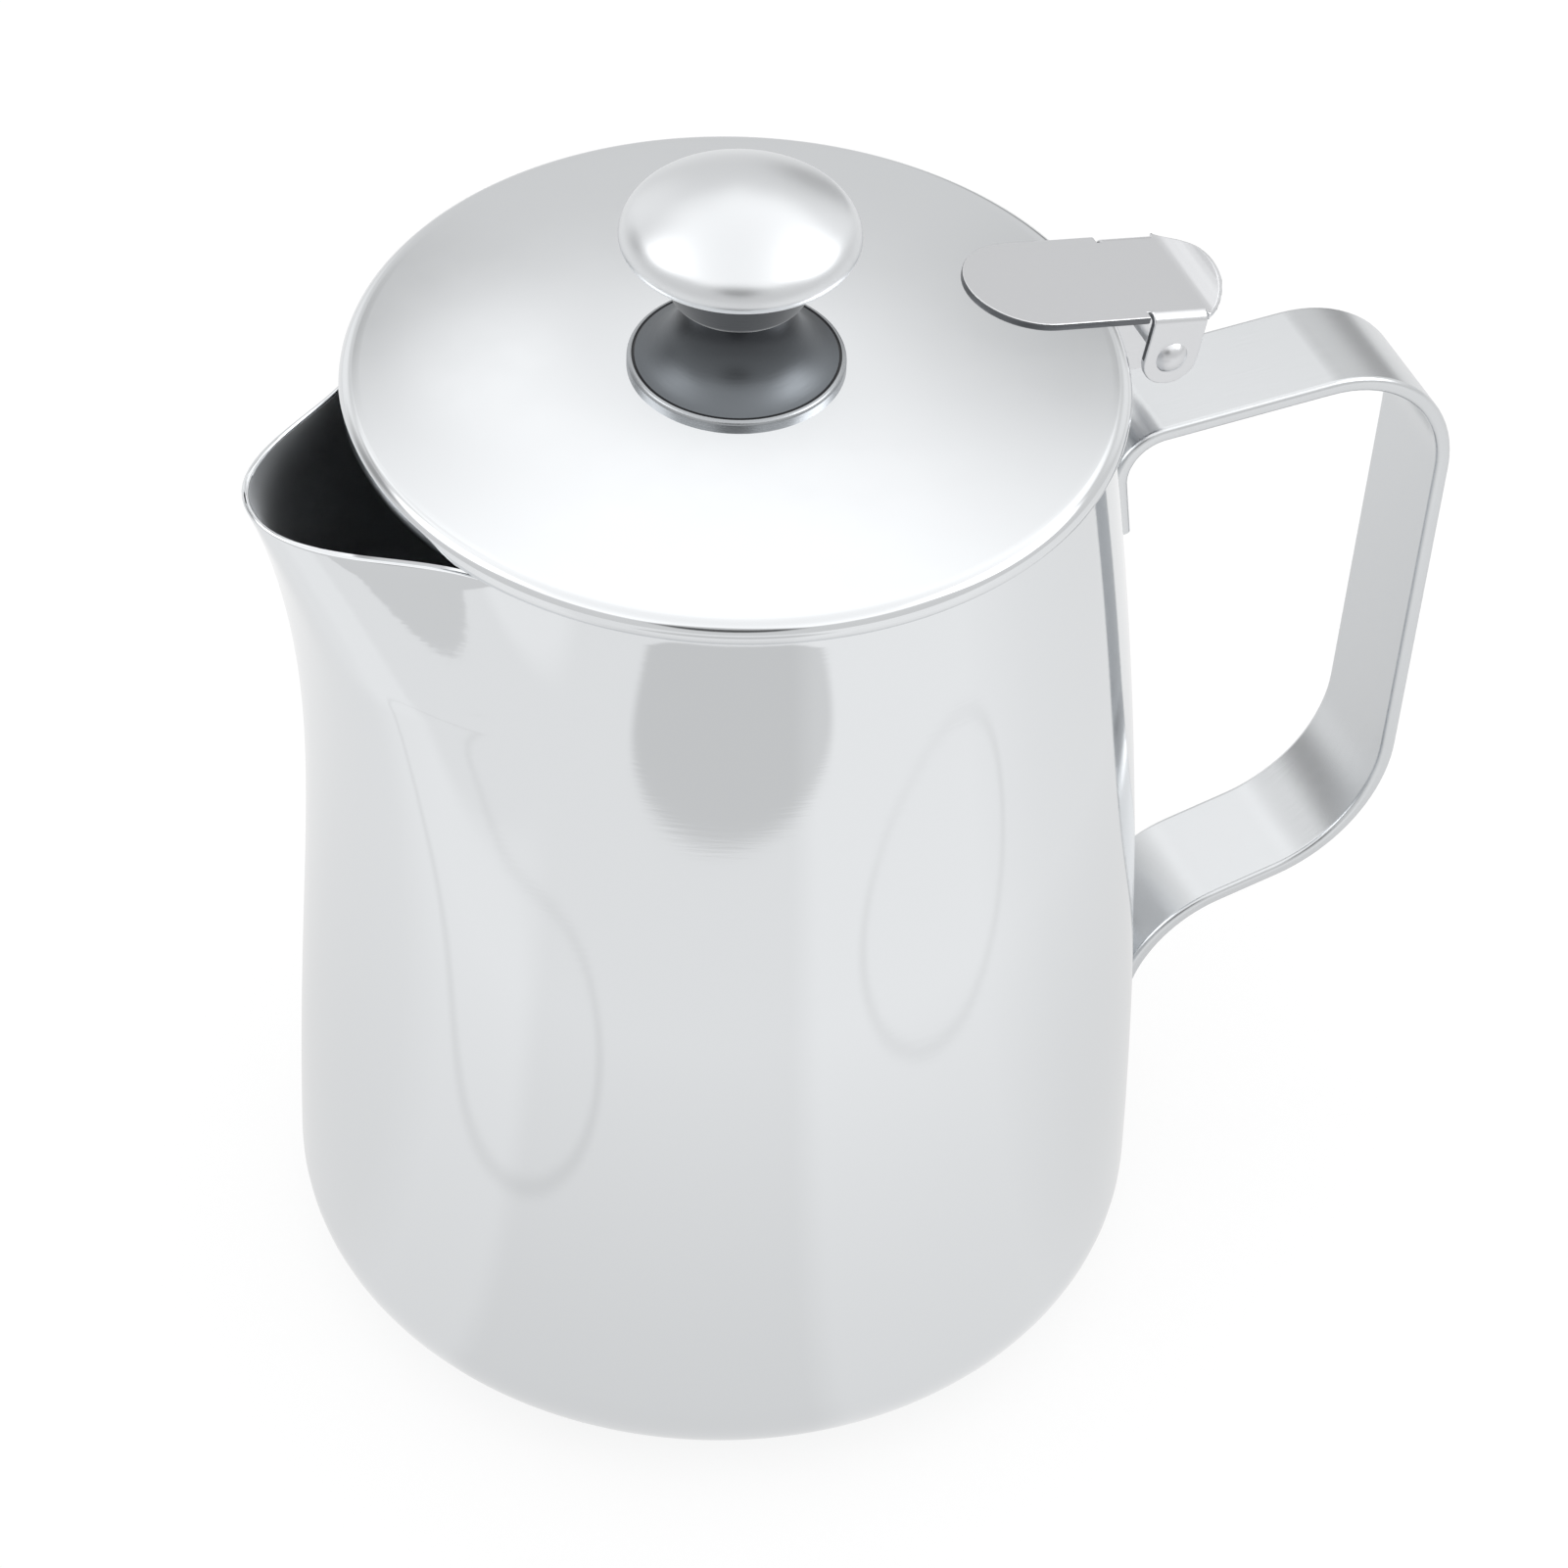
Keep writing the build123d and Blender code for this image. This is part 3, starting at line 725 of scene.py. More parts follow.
@dataclass
class Knob:
    """Turned knob: base ring, hollow skirt, cup and a buffed cap.

    Lengths are in millimetres, and heights are above the lid's crown.
    """

    foot_z: float
    bore: float = 4.5
    sheet: float = 0.8
    ring_radius: float = 14.4
    ring_height: float = 1.8
    ring_round: float = 0.6
    groove_depth: float = 0.25
    skirt_foot: float = 13.4
    skirt_waist: float = 7.2
    waist_z: float = 11.5
    bowl_bottom: float = 8.6
    bowl_top: float = 12.4
    bowl_round: float = 2.4
    cap_under: float = 20.0
    cap_radius: float = 15.8
    cap_widest: float = 21.4
    cap_shoulder: Point = (13.6, 24.9)
    cap_top: float = 28.9
    cap_lip: float = 4.0
    screw: float = 2.5
    bush_lift: float = 0.2
    flange: float = 6.4
    flange_thick: float = 1.6
    ring_steps: int = 5
    flare_steps: int = 24
    flare_in_steps: int = 20
    bowl_steps: int = 8
    dome_steps: int = 26
    shoulder_steps: int = 12
    lip_steps: int = 8
    side_steps: int = 4
    dome_in_steps: int = 20
    facets: int = 160

    @property
    def bowl_floor(self) -> float:
        """Height of the cup's floor inside."""
        return self.waist_z + self.sheet

    def seat(self, name: str, bm: Mesh, finishes: Sequence[SteelFinish],
             node: str, even: bool = True) -> None:
        """Lift a turned piece onto the lid's crown and finish it, kept out of mirror images.

        Args:
            name: Name of the piece.
            bm: Its mesh, as if the crown were at height zero.
            finishes: Finishes in the order of the faces' material numbers.
            node: CAD node that it replaces.
            even: True where flats keep their own shading beside narrow rounded edges.
        """
        bmesh.ops.translate(bm, vec=(0.0, 0.0, self.foot_z * MM), verts=bm.verts[:])
        made = finish_piece(name, bm, finishes, Body.LID, node, even=even)
        made.visible_glossy = False

    def build_ring(self) -> None:
        """Build the base ring with its rounded upper edge and a groove round the skirt's foot."""
        top = (self.bore, self.ring_height)
        outer = self.ring_radius - self.ring_round
        middle = (outer + self.skirt_foot) / 2
        line = Walker(self.bore, 0.0).line(self.ring_radius, 0.0)
        line.corner((self.ring_radius, self.ring_height), top, self.ring_round, self.ring_steps)
        line.line(middle, self.ring_height - self.groove_depth).line(self.skirt_foot, self.ring_height)
        bm = line.line(*top).close().turn(self.facets)
        for face in bm.faces:
            at = face.calc_center_median()
            away = at.xy.length / MM
            high = at.z / MM > self.ring_height / 2
            # Faces in the groove take painted shade, a dark line between the ring and the skirt.
            face.material_index = 1 if high and self.skirt_foot < away < outer else 0
        self.seat("knob_ring", bm, (TURNED_RING, GROOVE_PAINTED_SHADE), "knob_base_ring")

    def build_skirt(self) -> None:
        """Build the hollow skirt, flared towards its foot."""
        low = self.ring_height
        rise = self.waist_z - low
        spread = self.skirt_foot - self.skirt_waist
        flare = (spread ** 2 + rise ** 2) / (2 * spread)
        centre = (self.skirt_waist + flare, self.waist_z)
        inner = flare + self.sheet
        foot_in = centre[0] - math.sqrt(inner ** 2 - rise ** 2)
        neck_z = self.waist_z - self.sheet
        back = math.degrees(math.asin(rise / inner) - math.asin(self.sheet / inner))
        line = Walker(self.skirt_waist, self.waist_z)
        line.glide((self.skirt_foot, low), (0.0, -1.0), self.flare_steps)
        line.line(foot_in, low).arc(centre, -back, self.flare_in_steps)
        line.line(self.bore, neck_z).line(self.bore, self.waist_z)
        bm = line.close().turn(self.facets)
        # Its finish carries painted shade, darker towards the waist.
        self.seat("knob_skirt_turned", bm, (TURNED_NECK,), "knob_skirt")

    def build_bowl(self) -> None:
        """Build the cup under the cap."""
        top = (self.bowl_top, self.cap_under)
        line = Walker(self.bore, self.waist_z)
        line.corner((self.bowl_bottom, self.waist_z), top, self.bowl_round, self.bowl_steps)
        line.line(*top).line(self.bowl_top - self.sheet, self.cap_under)
        line.line(self.bowl_bottom - self.sheet, self.bowl_floor).line(self.bore, self.bowl_floor)
        bm = line.close().turn(self.facets)
        # Its finish carries painted shade, as dark as at the waist.
        self.seat("knob_cup", bm, (TURNED_NECK,), "knob_bowl")

    def build_bush(self) -> None:
        """Build the flanged bush inside the skirt and the cup."""
        flange_top = self.bowl_floor + self.flange_thick
        line = Walker(self.screw, self.bush_lift).line(self.bore, self.bush_lift)
        line.line(self.bore, self.bowl_floor).line(self.flange, self.bowl_floor)
        line.line(self.flange, flange_top).line(self.screw, flange_top)
        bm = line.close().turn(self.facets)
        self.seat("knob_bush", bm, (BRIGHT_FASTENER,), "knob_insert")

    def build_cap(self) -> None:
        """Build the domed cap with its edge rolled under."""
        turn = 2 * math.atan2(self.cap_top - self.cap_shoulder[1], self.cap_shoulder[0])
        heading = (math.cos(turn), -math.sin(turn))
        side = self.cap_radius - self.sheet
        lip_top = self.cap_under + self.sheet
        lip_in = self.bowl_top - self.cap_lip
        lip_out = self.bowl_top + self.cap_lip / 2
        under = (self.cap_shoulder[0] - self.sheet * math.sin(turn),
                 self.cap_shoulder[1] - self.sheet * math.cos(turn))
        line = Walker(0.0, self.cap_top).glide(self.cap_shoulder, (1.0, 0.0), self.dome_steps)
        line.glide((self.cap_radius, self.cap_widest), heading, self.shoulder_steps)
        line.glide((lip_out, self.cap_under), (0.0, -1.0), self.lip_steps)
        line.line(lip_in, self.cap_under).line(lip_in, lip_top).line(side, lip_top)
        line.line(side, self.cap_widest).line(*under, self.side_steps)
        line.glide((0.0, self.cap_top - self.sheet), (-heading[0], -heading[1]), self.dome_in_steps)
        self.seat("knob_top", line.turn(self.facets), (BRIGHT_CAP,), "knob_cap", False)

    def build(self) -> None:
        """Build the knob's pieces from the lid upwards."""
        self.build_ring()
        self.build_skirt()
        self.build_bowl()
        self.build_bush()
        self.build_cap()


@dataclass
class Hinge:
    """Thumb plate with two folded ears on a riveted pin.

    Lengths are in millimetres and the slope in degrees. The plate is drawn level about the pivot
    and then sloped.
    """

    pivot: Point = (59.0, 142.7)
    sheet: float = 1.1
    slope: float = 11.0
    half: float = 9.4
    under: float = 5.7
    inner: float = -27.8
    curl_from: float = 4.05
    curl_radius: float = 4.5
    thumb_flat: float = 8.75
    ear_half: float = 4.0
    ear_drop: float = 4.2
    ear_round: float = 3.8
    ear_outer: float = 9.6
    ear_fold: float = 1.5
    notch: float = 0.7
    edge: float = 0.22
    sharp_from: float = 1.0
    pin_radius: float = 1.6
    head_radius: float = 2.3
    head_height: float = 1.2
    end_steps: int = 28
    curl_strips: int = 6
    fold_steps: int = 6
    ear_segments: int = 8
    edge_segments: int = 2
    head_steps: int = 8
    pin_facets: int = 40

    @property
    def fold(self) -> float:
        """Distance of an ear's fold from the middle."""
        return self.ear_outer - self.ear_fold

    @property
    def at_pivot(self) -> Matrix:
        """Move from the origin to the pivot, in metres."""
        return Matrix.Translation(Vector((self.pivot[0], 0.0, self.pivot[1])) * MM)

    def outline(self) -> Mesh:
        """Draw the flat blank.

        Returns:
            The blank's top face, with the ears left off at their folds.
        """
        lobe = self.inner + self.half
        ear = self.ear_half
        root = -ear - self.notch
        bulge = self.thumb_flat - self.curl_from
        round_end = (self.half ** 2 + bulge ** 2) / (2 * bulge)
        sweep = 2 * math.degrees(math.asin(self.half / round_end))
        line = Walker(ear, -self.fold, False).line(ear, -self.half).line(self.curl_from, -self.half)
        line.arc((self.thumb_flat - round_end, 0.0), sweep, self.end_steps)
        line.line(ear, self.half).line(ear, self.fold).line(-ear, self.fold).line(root, self.fold)
        line.line(root, self.half).line(lobe, self.half)
        line.arc((lobe, 0.0), 180.0, self.end_steps)
        line.line(root, -self.half).line(root, -self.fold).line(-ear, -self.fold)
        bm = line.close().bm
        bmesh.ops.contextual_create(bm, geom=bm.edges[:])
        bmesh.ops.translate(bm, vec=(0.0, 0.0, (self.under + self.sheet) * MM), verts=bm.verts[:])
        return bm

    def curl_thumb(self, bm: Mesh) -> None:
        """Cut the thumb end into strips and curl it up round a radius.

        Args:
            bm: The flat blank.
        """
        for step in range(self.curl_strips):
            at = self.curl_from + (self.thumb_flat - self.curl_from) * step / self.curl_strips
            bmesh.ops.bisect_plane(bm, geom=bm.verts[:] + bm.edges[:] + bm.faces[:],
                                   plane_co=(at * MM, 0.0, 0.0), plane_no=(1.0, 0.0, 0.0))
        for vert in bm.verts:
            turn = (vert.co.x / MM - self.curl_from) / self.curl_radius
            if turn > 0.0:
                vert.co.x = (self.curl_from + self.curl_radius * math.sin(turn)) * MM
                vert.co.z += self.curl_radius * (1.0 - math.cos(turn)) * MM

    def fold_ears(self, bm: Mesh) -> None:
        """Fold an ear down at each side and round its lower end.

        Args:
            bm: The blank with its thumb end curled.
        """
        fold = self.fold * MM
        reach = self.ear_half * MM + SNAP
        top = (self.under + self.sheet) * MM
        straight = top / MM - self.ear_fold + self.ear_drop
        for side in (-1, 1):
            root = [edge for edge in bm.edges
                    if all(abs(v.co.y - side * fold) < SNAP and abs(v.co.x) < reach for v in edge.verts)]
            made = bmesh.ops.spin(bm, geom=list(root[0].verts) + root,
                                  cent=(0.0, side * fold, top - self.ear_fold * MM), axis=(1, 0, 0),
                                  angle=-side * math.pi / 2, steps=self.fold_steps)
            last = only(made["geom_last"], Edge)
            drawn = bmesh.ops.extrude_edge_only(bm, edges=last)["geom"]
            low = only(drawn, Vert)
            bmesh.ops.translate(bm, vec=(0.0, 0.0, -straight * MM), verts=low)
            bmesh.ops.bevel(bm, geom=low, offset=self.ear_round * MM, offset_type="OFFSET",
                            segments=self.ear_segments, profile=0.5, affect="VERTICES", material=-1)

    def build_plate(self) -> None:
        """Build the stamped and folded plate, kept out of mirror images."""
        bm = self.outline()
        self.curl_thumb(bm)
        self.fold_ears(bm)
        bmesh.ops.remove_doubles(bm, verts=bm.verts[:], dist=MERGE)
        bmesh.ops.recalc_face_normals(bm, faces=bm.faces[:])
        upward = max(bm.faces, key=lambda face: face.calc_area()).normal.z
        if upward < 0.0:
            bmesh.ops.reverse_faces(bm, faces=bm.faces[:])
        bmesh.ops.solidify(bm, geom=bm.faces[:], thickness=self.sheet * MM)
        sharp = [edge for edge in bm.edges
                 if len(edge.link_faces) == 2 and edge.calc_face_angle() > self.sharp_from]
        bmesh.ops.bevel(bm, geom=sharp, offset=self.edge * MM, offset_type="OFFSET",
                        segments=self.edge_segments, profile=0.5, affect="EDGES", material=-1)
        bm.normal_update()
        # Upright faces at the inner end take the sheared edge, whose dark tint is painted shade.
        for face in bm.faces:
            sheared = abs(face.normal.z) < LEVEL and face.calc_center_median().x < -self.ear_half * MM
            face.material_index = 1 if sheared else 0
        slope = Matrix.Rotation(math.radians(self.slope), 4, "Y")
        bmesh.ops.transform(bm, matrix=self.at_pivot @ slope, verts=bm.verts[:])
        made = finish_piece("thumb_plate_stamped", bm, (SATIN_PLATE, SHEARED_EDGE_PAINTED_SHADE), Body.LID,
                            "thumb_plate", BENT_CREASE, True)
        made.visible_glossy = False

    def build_pin(self) -> None:
        """Build the riveted pin with its two domed heads."""
        face = self.ear_outer
        ball = (self.head_radius ** 2 + self.head_height ** 2) / (2 * self.head_height)
        spread = math.degrees(math.asin(self.head_radius / ball))
        line = Walker(0.0, face + self.head_height)
        line.arc((0.0, face + self.head_height - ball), -spread, self.head_steps)
        line.line(self.pin_radius, face).line(self.pin_radius, -face).line(self.head_radius, -face)
        line.arc((0.0, ball - face - self.head_height), -spread, self.head_steps)
        bm = line.turn(self.pin_facets)
        lying = Matrix.Rotation(math.pi / 2, 4, "X")
        bmesh.ops.transform(bm, matrix=self.at_pivot @ lying, verts=bm.verts[:])
        finish_piece("rivet_pin", bm, (SATIN_PLATE,), Body.LID, "hinge_pin", even=True)

    def build(self) -> None:
        """Build the plate and its pin."""
        self.build_plate()
        self.build_pin()


@dataclass(frozen=True)
class FloorCard:
    """A soft-edged card beside the set, seen only in the polished wall.

    Centre and half sizes are in millimetres on the floor, to the right of the camera's line and
    towards the camera, and the turn is in degrees. A ring card shades only its edge, and a
    higher square gives a round card blunter corners.
    """

    centre: Point
    half: Point
    turn: float
    level: float
    soft: float
    ring: bool = False
    square: float = 2.0


@dataclass(frozen=True)
class SkyCard:
    """A soft round panel of the room, by its angles from the camera's line and the horizon.

    The core is the share of its spread over which it is even.
    """

    azimuth: float
    elevation: float
    spread: float
    level: float
    core: float = 0.0


@dataclass
class Studio:
    """Floor, room and camera.

    The floor's side and the camera's near limit are in metres, other lengths in millimetres and
    angles in degrees. Sectors pair a bearing with a level, and sky levels the sine of an elevation.
    """

    floor_side: float = 3.0
    floor_drop: float = 0.2
    floor_glow: float = 0.80
    floor_matte: float = 0.23
    camera_azimuth: float = -23.64
    camera_elevation: float = 42.77
    camera_roll: float = 1.79
    camera_distance: float = 1000.0
    camera_target: float = 56.7
    camera_aim: Point = (8.47, 15.66)
    camera_near: float = 0.05
    focal_px: float = 7317.0
    photo_px: float = 1601.0
    sensor: float = 36.0
    near_foot: Point = (60.0, 0.83)
    far_foot: Point = (170.0, 0.975)
    mirror_gain: float = 1.17
    floor_cards: Tuple[FloorCard, ...] = (
        # Dark squarish card towards the camera.
        FloorCard((12.0, 372.0), (140.0, 120.0), turn=0.0, level=-0.24, soft=0.05, square=5.0),
        # Faint rings to the left and the right.
        FloorCard((-107.0, 118.0), (47.0, 47.0), turn=0.0, level=-0.09, soft=0.10, ring=True),
        FloorCard((172.0, 122.0), (76.0, 56.0), turn=28.0, level=-0.09, soft=0.08, ring=True),
    )
    floor_sectors: Tuple[Point, ...] = (
        (-180, 0.86), (-110, 0.84), (-75, 0.87), (-62, 0.91), (-44, 0.91), (-39, 0.85),
        (17, 0.85), (23, 0.92), (64, 0.92), (85, 0.86), (120, 0.80), (180, 0.86))
    sky_levels: Tuple[Point, ...] = (
        (0.0, 0.54), (0.57, 0.55), (0.595, 0.60), (0.615, 0.69), (0.626, 0.76), (0.636, 0.85),
        (0.646, 0.91), (0.656, 0.95), (0.74, 0.95), (0.9, 0.84), (1.0, 0.80))
    sky_scale: float = 1.45
    sky_cards: Tuple[SkyCard, ...] = (
        # Small bright panel ahead, between two dark ones.
        SkyCard(-4.9, 38.3, 2.3, 0.38),
        SkyCard(-10.5, 39.0, 7.0, -0.30),
        SkyCard(10.0, 39.0, 7.0, -0.30),
        # Low bright panels to both sides.
        SkyCard(-40.0, 14.0, 26.0, 0.28),
        SkyCard(40.0, 14.0, 22.0, 0.20),
        # Dark panels: one low on the right, three on the left.
        SkyCard(20.0, 5.0, 17.0, -0.42),
        SkyCard(-65.0, 18.0, 20.0, -0.38),
        SkyCard(-24.0, 45.0, 11.0, -0.22),
        SkyCard(-52.0, 43.0, 12.0, -0.40),
        # Windows far out to both sides.
        SkyCard(-88.0, 41.0, 22.0, 1.6),
        SkyCard(88.0, 41.0, 24.0, 3.0),
        # Dark wall behind the camera.
        SkyCard(180.0, 35.0, 20.0, -0.68, core=0.6),
    )

    def axes(self) -> Tuple[Vector, Vector]:
        """Return the level directions to the camera's right and ahead of it."""
        turn = math.radians(self.camera_azimuth)
        return Vector((math.cos(turn), math.sin(turn), 0.0)), Vector((-math.sin(turn), math.cos(turn), 0.0))

    def fill_ramp(self, ramp: bpy.types.Node, stops: Sequence[Point]) -> None:
        """Set a grey ramp.

        Args:
            ramp: Colour ramp node.
            stops: Places on the ramp, each with its level.
        """
        spots = ramp.color_ramp.elements
        while len(spots) > 1:
            spots.remove(spots[-1])
        for index, (at, level) in enumerate(stops):
            stop = spots[0] if index == 0 else spots.new(at)
            stop.position = at
            stop.color = (level, level, level, 1.0)

    def build_floor(self) -> None:
        """Build a white floor that keeps a faint shadow, with soft cards in its mirror image."""
        bm = bmesh.new()
        bmesh.ops.create_grid(bm, x_segments=1, y_segments=1, size=self.floor_side / 2)
        bmesh.ops.translate(bm, vec=(0.0, 0.0, -self.floor_drop * MM), verts=bm.verts[:])
        mesh = bpy.data.meshes.new("floor")
        bm.to_mesh(mesh)
        bm.free()
        made = bpy.data.objects.new("floor", mesh)
        bpy.context.scene.collection.objects.link(made)
        paint = bpy.data.materials.new("white studio floor")
        paint.use_nodes = True
        tree = paint.node_tree
        tree.nodes.clear()
        path = add_node(tree, "ShaderNodeLightPath")
        glow_level = add_node(tree, "ShaderNodeMath", {"operation": "MULTIPLY", 1: self.floor_glow},
                              {0: path.outputs["Is Camera Ray"]})
        glow = add_node(tree, "ShaderNodeEmission", {"Color": WHITE}, {"Strength": glow_level.outputs[0]})
        matte = add_node(tree, "ShaderNodeBsdfDiffuse", {"Color": (self.floor_matte,) * 3 + (1.0,)})
        seen = add_node(tree, "ShaderNodeAddShader", None, {0: glow.outputs[0], 1: matte.outputs[0]})
        mirrored = add_node(tree, "ShaderNodeEmission", {"Color": WHITE},
                            {"Strength": self.card_levels(tree)})
        both = add_node(tree, "ShaderNodeMixShader", None,
                        {0: path.outputs["Is Glossy Ray"], 1: seen.outputs[0], 2: mirrored.outputs[0]})
        add_node(tree, "ShaderNodeOutputMaterial", None, {"Surface": both.outputs[0]})
        mesh.materials.append(paint)

    def card_levels(self, tree: Tree) -> Socket:
        """Work out the brightness of the floor's mirror image.

        Args:
            tree: Node tree of the floor's material.

        Returns:
            Socket with the brightness, card by card over the bare floor.
        """
        place = add_node(tree, "ShaderNodeTexCoord").outputs["Object"]
        turned = add_node(tree, "ShaderNodeMapping",
                          {"Rotation": (0.0, 0.0, -math.radians(self.camera_azimuth))},
                          {"Vector": place}).outputs["Vector"]
        level = self.bare_level(tree, turned)
        for card in self.floor_cards:
            shade = self.card_shade(tree, turned, card)
            level = add_node(tree, "ShaderNodeMath", {"operation": "ADD"}, {0: level, 1: shade}).outputs[0]
        return level

    def bare_level(self, tree: Tree, turned: Socket) -> Socket:
        """Work out the bare floor's mirror image: rising from the jug's foot, then by sector.

        Args:
            tree: Node tree of the floor's material.
            turned: Socket with the place on the floor, as the camera stands.

        Returns:
            Socket with the brightness.
        """
        away = add_node(tree, "ShaderNodeVectorMath", {"operation": "LENGTH"}, {0: turned})
        fall = add_node(tree, "ShaderNodeMapRange",
                        {"From Min": self.near_foot[0] * MM, "From Max": self.far_foot[0] * MM,
                         "To Min": self.near_foot[1], "To Max": self.far_foot[1]},
                        {"Value": away.outputs["Value"]})
        split = add_node(tree, "ShaderNodeSeparateXYZ", None, {"Vector": turned})
        front = add_node(tree, "ShaderNodeMath", {"operation": "MULTIPLY", 1: -1.0}, {0: split.outputs["Y"]})
        bearing = add_node(tree, "ShaderNodeMath", {"operation": "ARCTAN2"},
                           {0: split.outputs["X"], 1: front.outputs[0]})
        sector = add_node(tree, "ShaderNodeMapRange", {"From Min": -math.pi, "From Max": math.pi},
                          {"Value": bearing.outputs[0]})
        stops = add_node(tree, "ShaderNodeValToRGB", None, {"Fac": sector.outputs[0]})
        self.fill_ramp(stops, [(degrees / 360 + 0.5, level) for degrees, level in self.floor_sectors])
        level = add_node(tree, "ShaderNodeMath", {"operation": "MULTIPLY"},
                         {0: fall.outputs[0], 1: stops.outputs["Color"]})
        gained = add_node(tree, "ShaderNodeMath", {"operation": "MULTIPLY", 1: self.mirror_gain},
                          {0: level.outputs[0]})
        return gained.outputs[0]

    def card_shade(self, tree: Tree, turned: Socket,
                   card: FloorCard) -> Socket:
        """Work out what one card adds to the floor's mirror image.

        Args:
            tree: Node tree of the floor's material.
            turned: Socket with the place on the floor, as the camera stands.
            card: The card.

        Returns:
            Socket with the card's level where it lies, and zero elsewhere.
        """
        shape = add_node(tree, "ShaderNodeMapping",
                         {"vector_type": "TEXTURE",
                          "Location": (card.centre[0] * MM, -card.centre[1] * MM, 0.0),
                          "Rotation": (0.0, 0.0, math.radians(card.turn)),
                          "Scale": (card.half[0] * MM, card.half[1] * MM, 1.0)},
                         {"Vector": turned})
        edge = self.reach(tree, shape.outputs["Vector"], card.square)
        limits = {"From Min": 1.0 - card.soft, "From Max": 1.0 + card.soft}
        if card.ring:
            offset = add_node(tree, "ShaderNodeMath", {"operation": "SUBTRACT", 1: 1.0}, {0: edge})
            edge = add_node(tree, "ShaderNodeMath", {"operation": "ABSOLUTE"},
                            {0: offset.outputs[0]}).outputs[0]
            limits = {"From Min": 0.0, "From Max": card.soft}
        shade = add_node(tree, "ShaderNodeMapRange",
                         {"interpolation_type": "SMOOTHSTEP", "To Min": card.level, "To Max": 0.0, **limits},
                         {"Value": edge})
        return shade.outputs[0]

    def reach(self, tree: Tree, place: Socket,
              square: float) -> Socket:
        """Work out how far out a place lies on a card.

        Args:
            tree: Node tree of the floor's material.
            place: Socket with the place, in half sizes of the card.
            square: Power that sets how blunt the card's corners are.

        Returns:
            Socket with the distance, one at the card's edge.
        """
        sizes = add_node(tree, "ShaderNodeVectorMath", {"operation": "ABSOLUTE"}, {0: place})
        parts = add_node(tree, "ShaderNodeSeparateXYZ", None, {"Vector": sizes.outputs["Vector"]})
        raised = [add_node(tree, "ShaderNodeMath", {"operation": "POWER", 1: square},
                           {0: parts.outputs[axis]}) for axis in ("X", "Y")]
        total = add_node(tree, "ShaderNodeMath", {"operation": "ADD"},
                         {0: raised[0].outputs[0], 1: raised[1].outputs[0]})
        root = add_node(tree, "ShaderNodeMath", {"operation": "POWER", 1: 1 / square}, {0: total.outputs[0]})
        return root.outputs[0]

    def build_world(self) -> None:
        """Set a pale room: white to the camera; in the metal, bright overhead and dark behind the camera."""
        world = bpy.data.worlds.new("pale studio")
        bpy.context.scene.world = world
        world.use_nodes = True
        tree = world.node_tree
        tree.nodes.clear()
        way = add_node(tree, "ShaderNodeTexCoord").outputs["Generated"]
        height = add_node(tree, "ShaderNodeSeparateXYZ", None, {"Vector": way}).outputs["Z"]
        ramp = add_node(tree, "ShaderNodeValToRGB", None, {"Fac": height})
        self.fill_ramp(ramp, self.sky_levels)
        level = add_node(tree, "ShaderNodeMath", {"operation": "MULTIPLY", 1: self.sky_scale},
                         {0: ramp.outputs["Color"]}).outputs[0]
        for card in self.sky_cards:
            glow = self.card_glow(tree, way, card)
            level = add_node(tree, "ShaderNodeMath", {"operation": "ADD"}, {0: level, 1: glow}).outputs[0]
        path = add_node(tree, "ShaderNodeLightPath")
        plain = add_node(tree, "ShaderNodeMapRange", {"To Min": 1.0},
                         {"Value": path.outputs["Is Glossy Ray"], "To Max": level})
        back = add_node(tree, "ShaderNodeBackground", {"Color": WHITE}, {"Strength": plain.outputs[0]})
        add_node(tree, "ShaderNodeOutputWorld", None, {"Surface": back.outputs[0]})

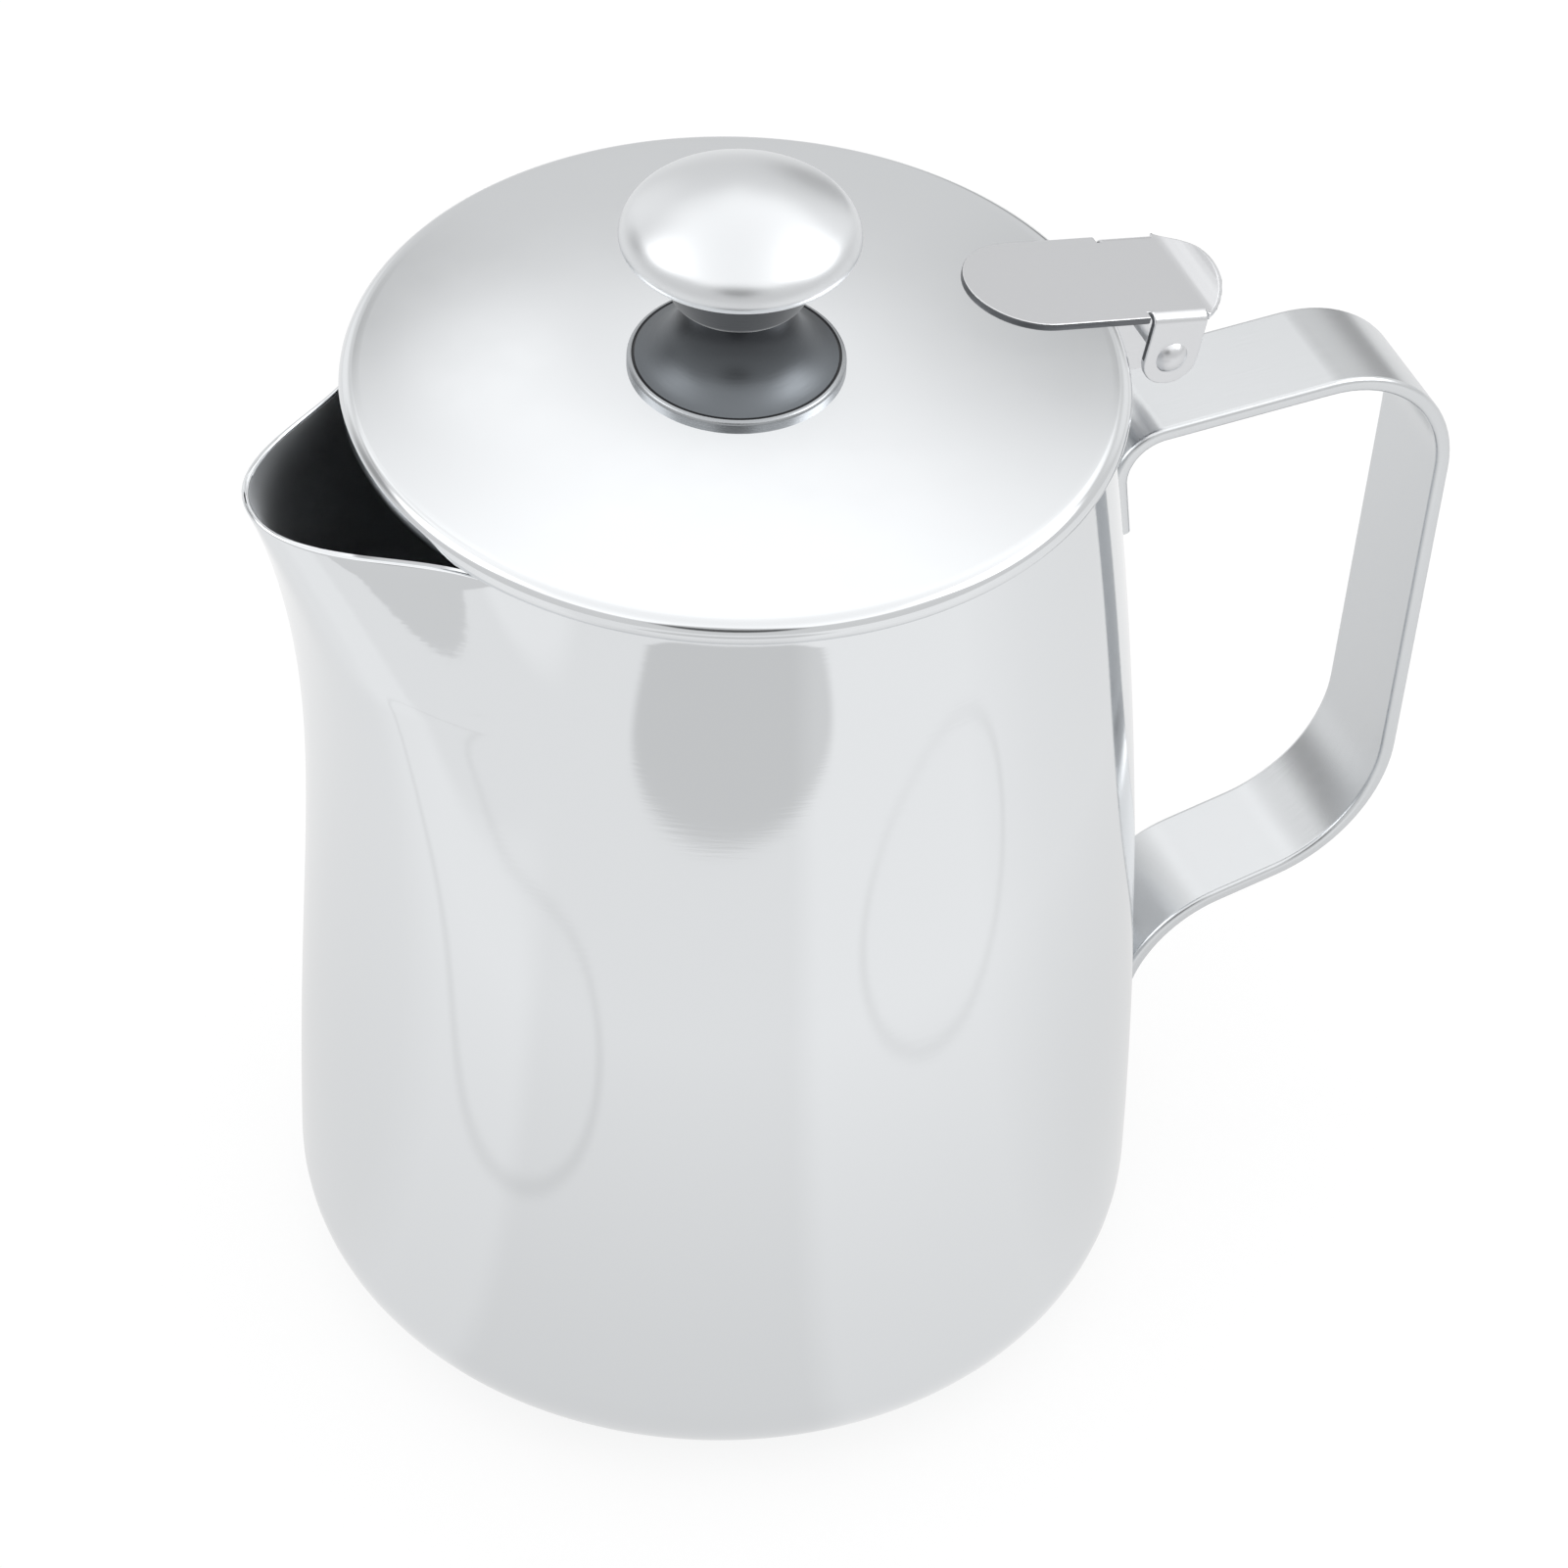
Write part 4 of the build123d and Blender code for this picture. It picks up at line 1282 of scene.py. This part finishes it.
    def card_glow(self, tree: Tree, way: Socket,
                  card: SkyCard) -> Socket:
        """Work out what one card adds to the room.

        Args:
            tree: Node tree of the room.
            way: Socket with the direction that is looked in.
            card: The card.

        Returns:
            Socket with the card's level where it hangs, and zero elsewhere.
        """
        right, ahead = self.axes()
        turn = math.radians(card.azimuth)
        tilt = math.radians(card.elevation)
        level = ahead * math.cos(turn) + right * math.sin(turn)
        aim = level * math.cos(tilt) + Vector((0.0, 0.0, math.sin(tilt)))
        near = add_node(tree, "ShaderNodeVectorMath", {"operation": "DOT_PRODUCT", 1: aim}, {0: way})
        glow = add_node(tree, "ShaderNodeMapRange",
                        {"interpolation_type": "SMOOTHSTEP",
                         "From Min": math.cos(math.radians(card.spread)),
                         "From Max": math.cos(math.radians(card.spread * card.core)),
                         "To Min": 0.0, "To Max": card.level},
                        {"Value": near.outputs["Value"]})
        return glow.outputs[0]

    def build_camera(self) -> None:
        """Set the camera at the photograph's view."""
        tilt = math.radians(self.camera_elevation)
        roll = math.radians(self.camera_roll)
        right, level = self.axes()
        ahead = level * math.cos(tilt) - Vector((0.0, 0.0, math.sin(tilt)))
        up = level * math.sin(tilt) + Vector((0.0, 0.0, math.cos(tilt)))
        target = Vector((0.0, 0.0, self.camera_target))
        place = target - ahead * self.camera_distance
        aim = target + right * self.camera_aim[0] + up * self.camera_aim[1]
        across = right * math.cos(roll) + up * math.sin(roll)
        back = (place - aim).normalized()
        side = (across - back * across.dot(back)).normalized()
        data = bpy.data.cameras.new("photo_camera")
        data.sensor_width = self.sensor
        data.lens = self.focal_px / self.photo_px * self.sensor
        data.clip_start = self.camera_near
        made = bpy.data.objects.new("photo_camera", data)
        stance = Matrix((side, back.cross(side), back)).transposed()
        made.matrix_world = Matrix.Translation(place * MM) @ stance.to_4x4()
        bpy.context.scene.collection.objects.link(made)
        bpy.context.scene.camera = made

    def build(self) -> None:
        """Set the whole stage."""
        bpy.context.scene.view_settings.view_transform = "Standard"
        self.build_camera()
        self.build_floor()
        self.build_world()


def dress_fasteners() -> None:
    """Give the CAD nodes that stay their finishes, with the knob's kept out of mirror images."""
    plain = {"hinge_knuckle": SATIN_PLATE, "knob_screw": BRIGHT_FASTENER,
             "knob_flat_washer": BRIGHT_FASTENER, "knob_spring_washer": BRIGHT_FASTENER}
    for node, finish in plain.items():
        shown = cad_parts[node]
        for holder in shown.material_slots:
            holder.material = finish.material()
        shown.visible_glossy = not node.startswith("knob_")
        LOG.info("%s: CAD shape in %s", node, finish.name)


def main() -> None:
    """Build every piece in order and set the stage."""
    logging.basicConfig(level=logging.INFO, format="%(message)s")
    Studio().build()
    vessel = JugVessel()
    vessel.build()
    StrapHandle(vessel).build()
    lid = LidDome()
    lid.build()
    Knob(lid.crown).build()
    Hinge().build()
    dress_fasteners()


if __name__ == "__main__":
    main()
